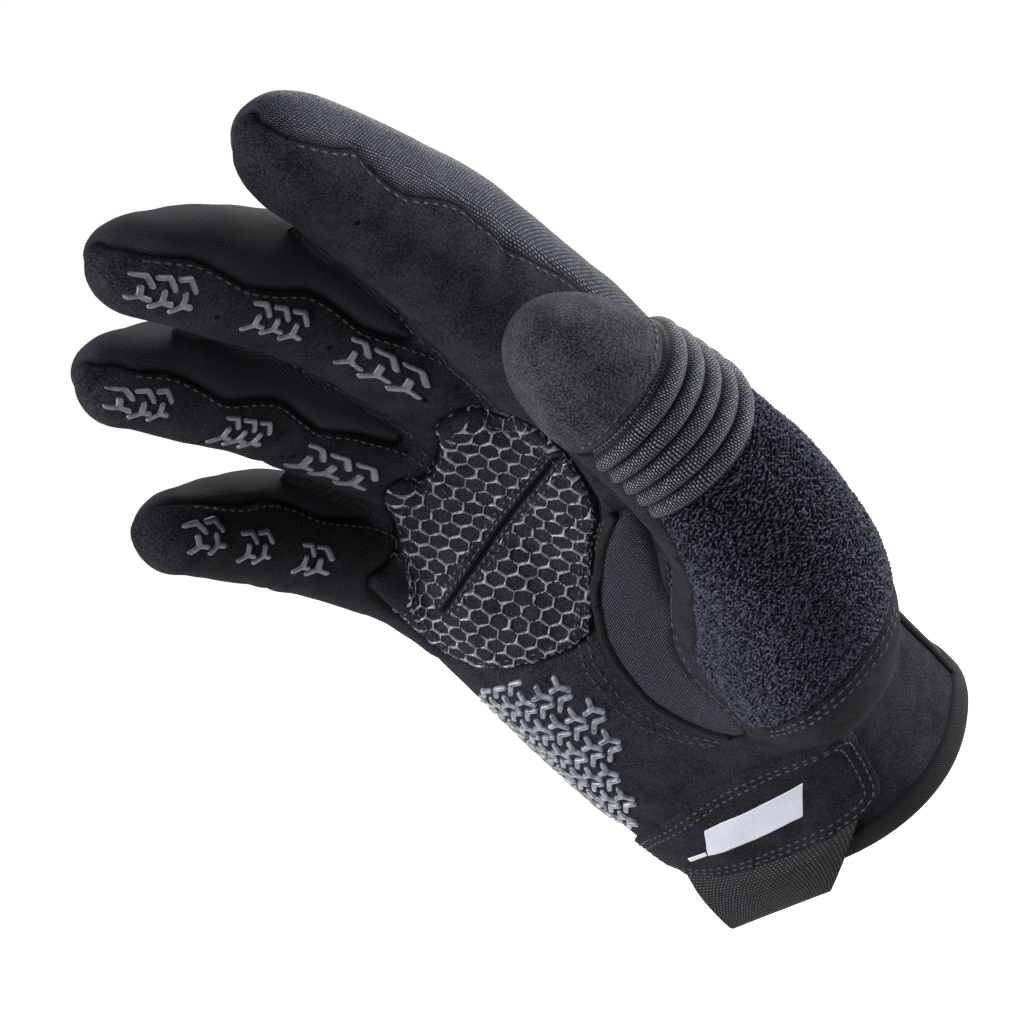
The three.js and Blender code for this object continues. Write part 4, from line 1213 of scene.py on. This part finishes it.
def sideSeamLine(low, high):
    heights = np.arange(low, high, 1.0)
    angles = np.radians(np.linspace(60, 130, 141))
    line = []
    for h in heights:
        ring = handSurface(h, angles)
        seam = np.interp(h, [row[0] for row in glove["sideSeam"]], [row[1] for row in glove["sideSeam"]])
        seam = seam + (ring[:, 0] - 90) * (seam + 1) / 180
        line.append(ring[np.abs(ring[:, 1] - seam).argmin()])
    return resample(smoothOpen(line, 1), alongStep)


spot, normal = drape(sideSeamLine(sideTape["from"], sideTape["to"]))
ribbon = tube(spot + normal * sideTape["rise"], normal, sideTape["halfWidth"], sideTape["flat"])
addShape("side_tape", ribbon, tape, ())


def handRing(level, inset, columns):
    return handSurface(level, np.linspace(-math.pi, math.pi, columns, endpoint=False), inset)


cuff = {"columns": 240, "profile": [  # inset, height
    (0.3, 4.6), (-0.7, 4.4), (-1.05, 3.4), (-1.15, 1.2), (-1.15, -0.4), (-0.8, -1.3), (0.2, -1.75),
    (1.2, -1.5), (2.0, -0.6), (2.3, 0.8), (2.4, 3.6), (1.8, 4.3)]}


def cuffTape():
    profile, columns = cuff["profile"], cuff["columns"]
    sides = len(profile)
    rings = np.stack([handRing(height, inset, columns) for inset, height in profile], 1)
    angle = np.linspace(0, 2 * math.pi, columns, endpoint=False)
    tris = ringTris(columns, sides, True)
    verts = rings.reshape(-1, 3)
    middle = rings.mean(1).repeat(sides, axis=0)
    if (faceNormals(verts, tris) * (verts - middle)[tris[:, 0]]).sum() < 0:
        tris = tris[:, ::-1]
    plan = np.stack([np.repeat(angle * 35, sides), np.tile(np.arange(sides) * 1.3, columns)], 1)
    return verts, tris, plan[tris].reshape(-1, 2)


addShape("cuff_tape", cuffTape(), tape, ("cuff_binding",))

loop = {  # the ends of the fold, the curve of the upper edge, and the path of the folded tape in mm
    "fold": [(-24, -31.8, -7.6), (4.5, -31.5, -3.3)],
    "upper": [(-28, -27.6, 3.2), (-6, -33.6, 4.4), (16.5, -27.3, 6.8)],
    "path": [(1.45, 3.6), (1.2, 2.6), (1.02, 1.3), (0.85, 0.2), (0.5, -0.6), (0.1, -0.8), (0.0, -0.3),
             (-0.01, 0.5), (0.06, 1.2), (0.3, 1.3), (0.8, 1.3)],  # share of the height, depth
    "thick": 1.0, "tall": 12, "wide": 33,
}


def loopBand():
    line = resample(smoothOpen(np.array(loop["path"]) * (loop["tall"], 1), 3), 0.35)
    tangent = np.gradient(line, axis=0)
    tangent /= np.linalg.norm(tangent, axis=1, keepdims=True)
    across = np.stack([tangent[:, 1], -tangent[:, 0]], 1)
    rows, columns = len(line), 90
    length = runningLength(line)
    t = np.linspace(0, 1, columns)[:, None]
    fold = np.array(loop["fold"][0]) * (1 - t) + np.array(loop["fold"][1]) * t
    a, b, c = (np.array(p) for p in loop["upper"])
    upper = a * (1 - t) ** 2 + 2 * b * t * (1 - t) + c * t * t
    skins = []
    for side in (-0.5, 0.5):
        p = line + across * side * loop["thick"]
        sheet = fold + (upper - fold) * (p[:, 0] / loop["tall"])[:, None, None]
        skins.append(sheet + np.array((0, 1, 0)) * p[:, 1][:, None, None])
    widths = np.linspace(0, loop["wide"], columns)
    plan = np.stack([np.repeat(length, columns), np.tile(widths, rows)], 1)
    verts = np.vstack([s.reshape(-1, 3) for s in skins])
    top = gridTris(rows, columns)
    under = top[:, ::-1] + rows * columns
    ring = np.concatenate([np.arange(columns), np.arange(1, rows) * columns + columns - 1,
                           (rows - 1) * columns + np.arange(columns - 2, -1, -1),
                           np.arange(rows - 2, 0, -1) * columns])
    nextOne = np.roll(ring, -1)
    off = rows * columns
    edge = np.vstack([np.stack([nextOne, ring, ring + off], 1),
                      np.stack([nextOne, ring + off, nextOne + off], 1)])
    tris = np.vstack([top, under, edge])
    plan = np.vstack([plan, plan])
    a, b, c = (verts[tris[:, k]] for k in range(3))
    if (a * np.cross(b, c)).sum() < 0:
        tris = tris[:, ::-1]
    return verts, tris, plan[tris].reshape(-1, 2)


addShape("webbing_loop", loopBand(), webbing, ("pull_loop",))
print("straps and tapes")

# The inside of the glove, seen through the cuff

liner = {"voxel": 2.4, "inside": 2.0, "from": 1.5}
v, t = joinedForm(liner["voxel"])
v = smoothed(v, t, np.full(len(v), 0.5), 3)
v = v - vertexNormals(v, t) * liner["inside"]
t = t[(v[t][:, :, 2] > liner["from"]).all(1)][:, ::-1]
used, t = compact(t)
addPiece("liner", v[used], t, linerCloth, (), clothUv(v[used], t, ["hand"]))
print("liner")

# Geometry Nodes: stitches and towelling loops


def nodeTree(name, inputs):
    tree = bpy.data.node_groups.new(name, "GeometryNodeTree")
    tree.interface.new_socket("Geometry", in_out="INPUT", socket_type="NodeSocketGeometry")
    for key, kind in inputs:
        tree.interface.new_socket(key, in_out="INPUT", socket_type=kind)
    tree.interface.new_socket("Geometry", in_out="OUTPUT", socket_type="NodeSocketGeometry")
    return tree, tree.nodes.new("NodeGroupInput"), tree.nodes.new("NodeGroupOutput")


def makeReal(tree, instances, material, out):
    real = addNode(tree, "GeometryNodeRealizeInstances", {"Geometry": instances})
    dressed = addNode(tree, "GeometryNodeSetMaterial", {"Geometry": real.outputs[0], "Material": material})
    tree.links.new(dressed.outputs[0], out.inputs[0])


def baked(obj, tree, values, name):
    modifier = obj.modifiers.new(name, "NODES")
    modifier.node_group = tree
    for item in tree.interface.items_tree:
        if item.in_out == "INPUT" and item.name in values:
            modifier[item.identifier] = values[item.name]
    mesh = evaluatedMesh(obj)
    obj.modifiers.remove(modifier)
    made = linked(bpy.data.objects.new(name, mesh))
    mesh.shade_smooth()
    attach(made, "root")
    return made


stitch = {  # sizes in mm, then how far each row of stitches lies from its edge or seam
    "length": 1.5, "thick": 0.46, "step": 2.1, "strap": (1.6, 3.4), "grip": (1.3, 2.9),
    "slit": (-2.4, -1.1, 1.1, 2.4), "heelSide": (4.5, 7.5), "thumbSide": (3.5, 7.0),
    "towel": (0.045, 0.09), "cap": 0.06, "finger": 1.4,  # towel and cap in stations of the thumb
}
rows = []  # each row is a line of points on the form, and how far it stands off


def stitchLine(points, off=0.05):
    rows.append((resample(points, 0.5), off))


def insetLine(line, depth):
    ahead = np.roll(line, -1, axis=0) - np.roll(line, 1, axis=0)
    inward = np.stack([-ahead[:, 1], ahead[:, 0]], 1) / np.linalg.norm(ahead, axis=1, keepdims=True)
    return line + inward * depth


def polygonRow(place, line, depth, off=0.05):
    area = 0.5 * np.sum(line[:, 0] * np.roll(line[:, 1], -1) - np.roll(line[:, 0], -1) * line[:, 1])
    moved = insetLine(line, depth if area > 0 else -depth)
    moved = resample(np.vstack([moved, moved[:1]]), 0.7)
    inside = insidePolygon(moved[:, 0], moved[:, 1], line)
    moved = moved[np.abs(inside - depth) < 0.5]
    breaks = np.where(np.linalg.norm(np.diff(moved, axis=0), axis=1) > 2.5)[0] + 1
    for run in np.split(moved, breaks):
        if len(run) > 4:
            stitchLine(place(run[:, 0], run[:, 1]), off)


for depth in stitch["strap"]:
    polygonRow(onCuff, strapLine, depth, strap["thick"])
for depth in stitch["grip"]:
    polygonRow(palmPlace, palmLine, depth)
slitLine = np.array(palmGrip["slit"], float)
way = (slitLine[1] - slitLine[0]) / np.linalg.norm(slitLine[1] - slitLine[0])
for shift in stitch["slit"]:
    line = resample(slitLine + np.array([-way[1], way[0]]) * shift, 0.7)
    stitchLine(palmPlace(line[:, 0], line[:, 1]))
low = [(h, a) for h, a, _ in gusset]
for shift in stitch["heelSide"]:
    stitchLine(handSurface(np.array([h - 0.2 * shift for h, _ in low]),
                           np.radians([a - shift * 0.75 for _, a in low])))
edge = [(h, a) for h, _, a in gusset if 48 < h < 95]
for shift in stitch["thumbSide"]:
    stitchLine(handSurface(np.array([h for h, _ in edge], float), np.radians([a + shift for _, a in edge])))
for shift in stitch["towel"]:
    angles = np.linspace(30, 130, 40)
    stations = np.interp(angles, towelLow[:, 0], towelLow[:, 1]) - shift
    stitchLine(thumbSurface(stations, np.radians(angles)))
angles = np.linspace(44, 280, 60)
stitchLine(thumbSurface(np.full(60, thumb["capSeam"] + stitch["cap"]), np.radians(angles)))
for name in fingers:
    stations = np.linspace(1.15, fingerSeams[name][-1][0] - 0.05, 60)
    half = halfWidth(name, stations)
    for side, sign in ((1, -1), (2, 1)):
        seam = smoothColumn(fingerSeams[name], side)(stations)
        stitchLine(limbs[name][0](stations, np.radians(seam) + sign * stitch["finger"] / half))
points, turns = [], []
for row, off in rows:
    length = runningLength(row)
    at = np.arange(stitch["step"] / 2, length[-1], stitch["step"])
    ahead = [np.stack([np.interp(at + d, length, row[:, k]) for k in range(3)], 1) for d in (-0.7, 0.7)]
    (a1, _), (b1, _) = drape(ahead[0]), drape(ahead[1])
    spot, normal = drape((a1 + b1) / 2)
    x = (b1 - a1) / np.maximum(np.linalg.norm(b1 - a1, axis=1, keepdims=True), 1e-6)
    for p, tangent, n in zip(spot + normal * off, x, normal):
        side = np.cross(n, tangent)
        n = np.cross(tangent, side)
        points.append(p)
        turns.append(Matrix((tangent, side, n)).transposed().to_euler())
seeds = bpy.data.meshes.new("stitch places")
seeds.from_pydata([tuple(p * mm) for p in points], [], [])
turn = seeds.attributes.new("turn", "FLOAT_VECTOR", "POINT")
turn.data.foreach_set("vector", np.array([tuple(e) for e in turns]).ravel())
seedObject = linked(bpy.data.objects.new("stitch places", seeds))

tree, given, out = nodeTree("stitches", [("Length", "NodeSocketFloat"), ("Thickness", "NodeSocketFloat"),
                                         ("Thread", "NodeSocketMaterial")])
bead = addNode(tree, "GeometryNodeMeshUVSphere", {"Segments": 6, "Rings": 4, "Radius": 0.5})
size = addNode(tree, "ShaderNodeCombineXYZ", {0: given.outputs["Length"], 1: given.outputs["Thickness"],
                                              2: given.outputs["Thickness"]})
shaped = addNode(tree, "GeometryNodeTransform", {"Geometry": bead.outputs[0], "Scale": size.outputs[0]})
angle = addNode(tree, "GeometryNodeInputNamedAttribute", {"Name": "turn"}, data_type="FLOAT_VECTOR")
facing = addNode(tree, "FunctionNodeEulerToRotation", {0: angle.outputs[0]})
laid = addNode(tree, "GeometryNodeInstanceOnPoints", {"Points": given.outputs["Geometry"],
                                                      "Instance": shaped.outputs[0],
                                                      "Rotation": facing.outputs[0]})
makeReal(tree, laid.outputs[0], given.outputs["Thread"], out)
baked(seedObject, tree, {"Length": stitch["length"] * mm, "Thickness": stitch["thick"] * mm,
                         "Thread": thread}, "stitching")
bpy.data.objects.remove(seedObject)
print("stitches", len(points))

towel = {  # mm, loops a square metre at most, degrees of arc, radians of lean and turn, sizes
    "spacing": 0.6, "loop": 0.36, "yarn": 0.23, "density": 6.0e6, "arcStart": -30, "arcSweep": 240,
    "lean": 0.4, "turn": 0.8, "smallest": 0.75, "largest": 1.25,
}
tree, given, out = nodeTree("towelling", [("Spacing", "NodeSocketFloat"), ("Loop", "NodeSocketFloat"),
                                          ("Yarn", "NodeSocketFloat"), ("Cloth", "NodeSocketMaterial")])
spread = addNode(tree, "GeometryNodeDistributePointsOnFaces", {
    "Mesh": given.outputs["Geometry"], "Distance Min": given.outputs["Spacing"],
    "Density Max": towel["density"], "Seed": 4}, distribute_method="POISSON")
arc = addNode(tree, "GeometryNodeCurveArc", {"Resolution": 4, "Radius": given.outputs["Loop"],
                                             "Start Angle": math.radians(towel["arcStart"]),
                                             "Sweep Angle": math.radians(towel["arcSweep"])})
ringOf = addNode(tree, "GeometryNodeCurvePrimitiveCircle", {"Resolution": 3, "Radius": given.outputs["Yarn"]})
bent = addNode(tree, "GeometryNodeCurveToMesh", {"Curve": arc.outputs[0], "Profile Curve": ringOf.outputs[0]})
upright = addNode(tree, "GeometryNodeTransform", {"Geometry": bent.outputs[0],
                                                  "Rotation": (math.radians(90), 0, 0)})
spin = addNode(tree, "FunctionNodeRandomValue", {"Seed": 11}, data_type="FLOAT_VECTOR")
spin.inputs["Min"].default_value = (-towel["lean"], -towel["lean"], -towel["turn"])
spin.inputs["Max"].default_value = (towel["lean"], towel["lean"], towel["turn"])
twist = addNode(tree, "FunctionNodeEulerToRotation", {0: spin.outputs[0]})
rotated = addNode(tree, "FunctionNodeRotateRotation", {0: spread.outputs["Rotation"], 1: twist.outputs[0]},
                  rotation_space="LOCAL")
grow = addNode(tree, "FunctionNodeRandomValue", {"Seed": 5}, data_type="FLOAT")
grow.inputs[2].default_value, grow.inputs[3].default_value = towel["smallest"], towel["largest"]
laid = addNode(tree, "GeometryNodeInstanceOnPoints", {
    "Points": spread.outputs["Points"], "Instance": upright.outputs[0], "Rotation": rotated.outputs[0],
    "Scale": grow.outputs[1]})
makeReal(tree, laid.outputs[0], given.outputs["Cloth"], out)
loops = baked(towelBase, tree, {"Spacing": towel["spacing"] * mm, "Loop": towel["loop"] * mm,
                                "Yarn": towel["yarn"] * mm, "Cloth": terry}, "towel_loops")
print("towelling", len(loops.data.polygons))

# Camera, light and floor

photo = {"target": (3.96, -14.46, 108.96), "azimuth": 42.93, "elevation": 30.51, "roll": 46.48,
         "distance": 464.86, "lens": 85.3, "sensor": 36}  # the photo's view, in degrees and mm
lampDistance = 0.7
a, b, r = (math.radians(photo[k]) for k in ("azimuth", "elevation", "roll"))
back = Vector((math.cos(b) * math.sin(a), -math.cos(b) * math.cos(a), math.sin(b)))
level = Vector((math.cos(a), math.sin(a), 0))
rise = back.cross(level)
right = level * math.cos(r) - rise * math.sin(r)
up = level * math.sin(r) + rise * math.cos(r)
camera = linked(bpy.data.objects.new("camera", bpy.data.cameras.new("camera")))
camera.data.lens, camera.data.sensor_width = photo["lens"], photo["sensor"]
turn = Matrix((right, up, back)).transposed().to_4x4()
target = Vector(photo["target"]) * mm
camera.matrix_world = Matrix.Translation(target + back * photo["distance"] * mm) @ turn
bpy.context.scene.camera = camera

lamps = {  # direction from the glove in camera terms (right, up, towards), size, power
    "key": ((0.85, 0.6, 0.05), 0.35, 10.0), "fill": ((-0.6, -0.2, 0.75), 0.35, 4.2),
    "rim": ((0.1, 0.8, -0.7), 0.4, 6.0), "low": ((-0.9, -0.35, 0.1), 0.3, 5.5),
}
for name, (way, size, power) in lamps.items():
    lamp = bpy.data.lights.new(name, "AREA")
    lamp.size, lamp.energy = size, power
    obj = linked(bpy.data.objects.new(name, lamp))
    direction = (right * way[0] + up * way[1] + back * way[2]).normalized()
    obj.location = target + direction * lampDistance
    obj.rotation_euler = direction.to_track_quat("Z", "Y").to_euler()
world = bpy.data.worlds.new("white room")
world.use_nodes = True
sky = world.node_tree.nodes["Background"]
sky.inputs["Color"].default_value = (1, 1, 1, 1)
seen = addNode(world.node_tree, "ShaderNodeLightPath").outputs["Is Camera Ray"]
glow = addNode(world.node_tree, "ShaderNodeMapRange", {"Value": seen, "To Min": 0.2, "To Max": 1.3})
world.node_tree.links.new(glow.outputs[0], sky.inputs["Strength"])
bpy.context.scene.world = world
bpy.context.scene.view_settings.view_transform = "Standard"
floorHalf, floorLevel = 3000, -450
corners = [(x * floorHalf, y * floorHalf, floorLevel) for x, y in ((-1, -1), (1, -1), (1, 1), (-1, 1))]
floor = newMesh("floor", corners, [(0, 1, 2, 3)])
floorPaint, _, floorShader = newMaterial("matt white paint", "#fbfbfb", 0.9)
floorShader.inputs["Emission Color"].default_value = (1, 1, 1, 1)
floorShader.inputs["Emission Strength"].default_value = 0.8  # an evenly lit white sweep
floor.data.materials.append(floorPaint)
floor.visible_diffuse = False
print("camera and light")
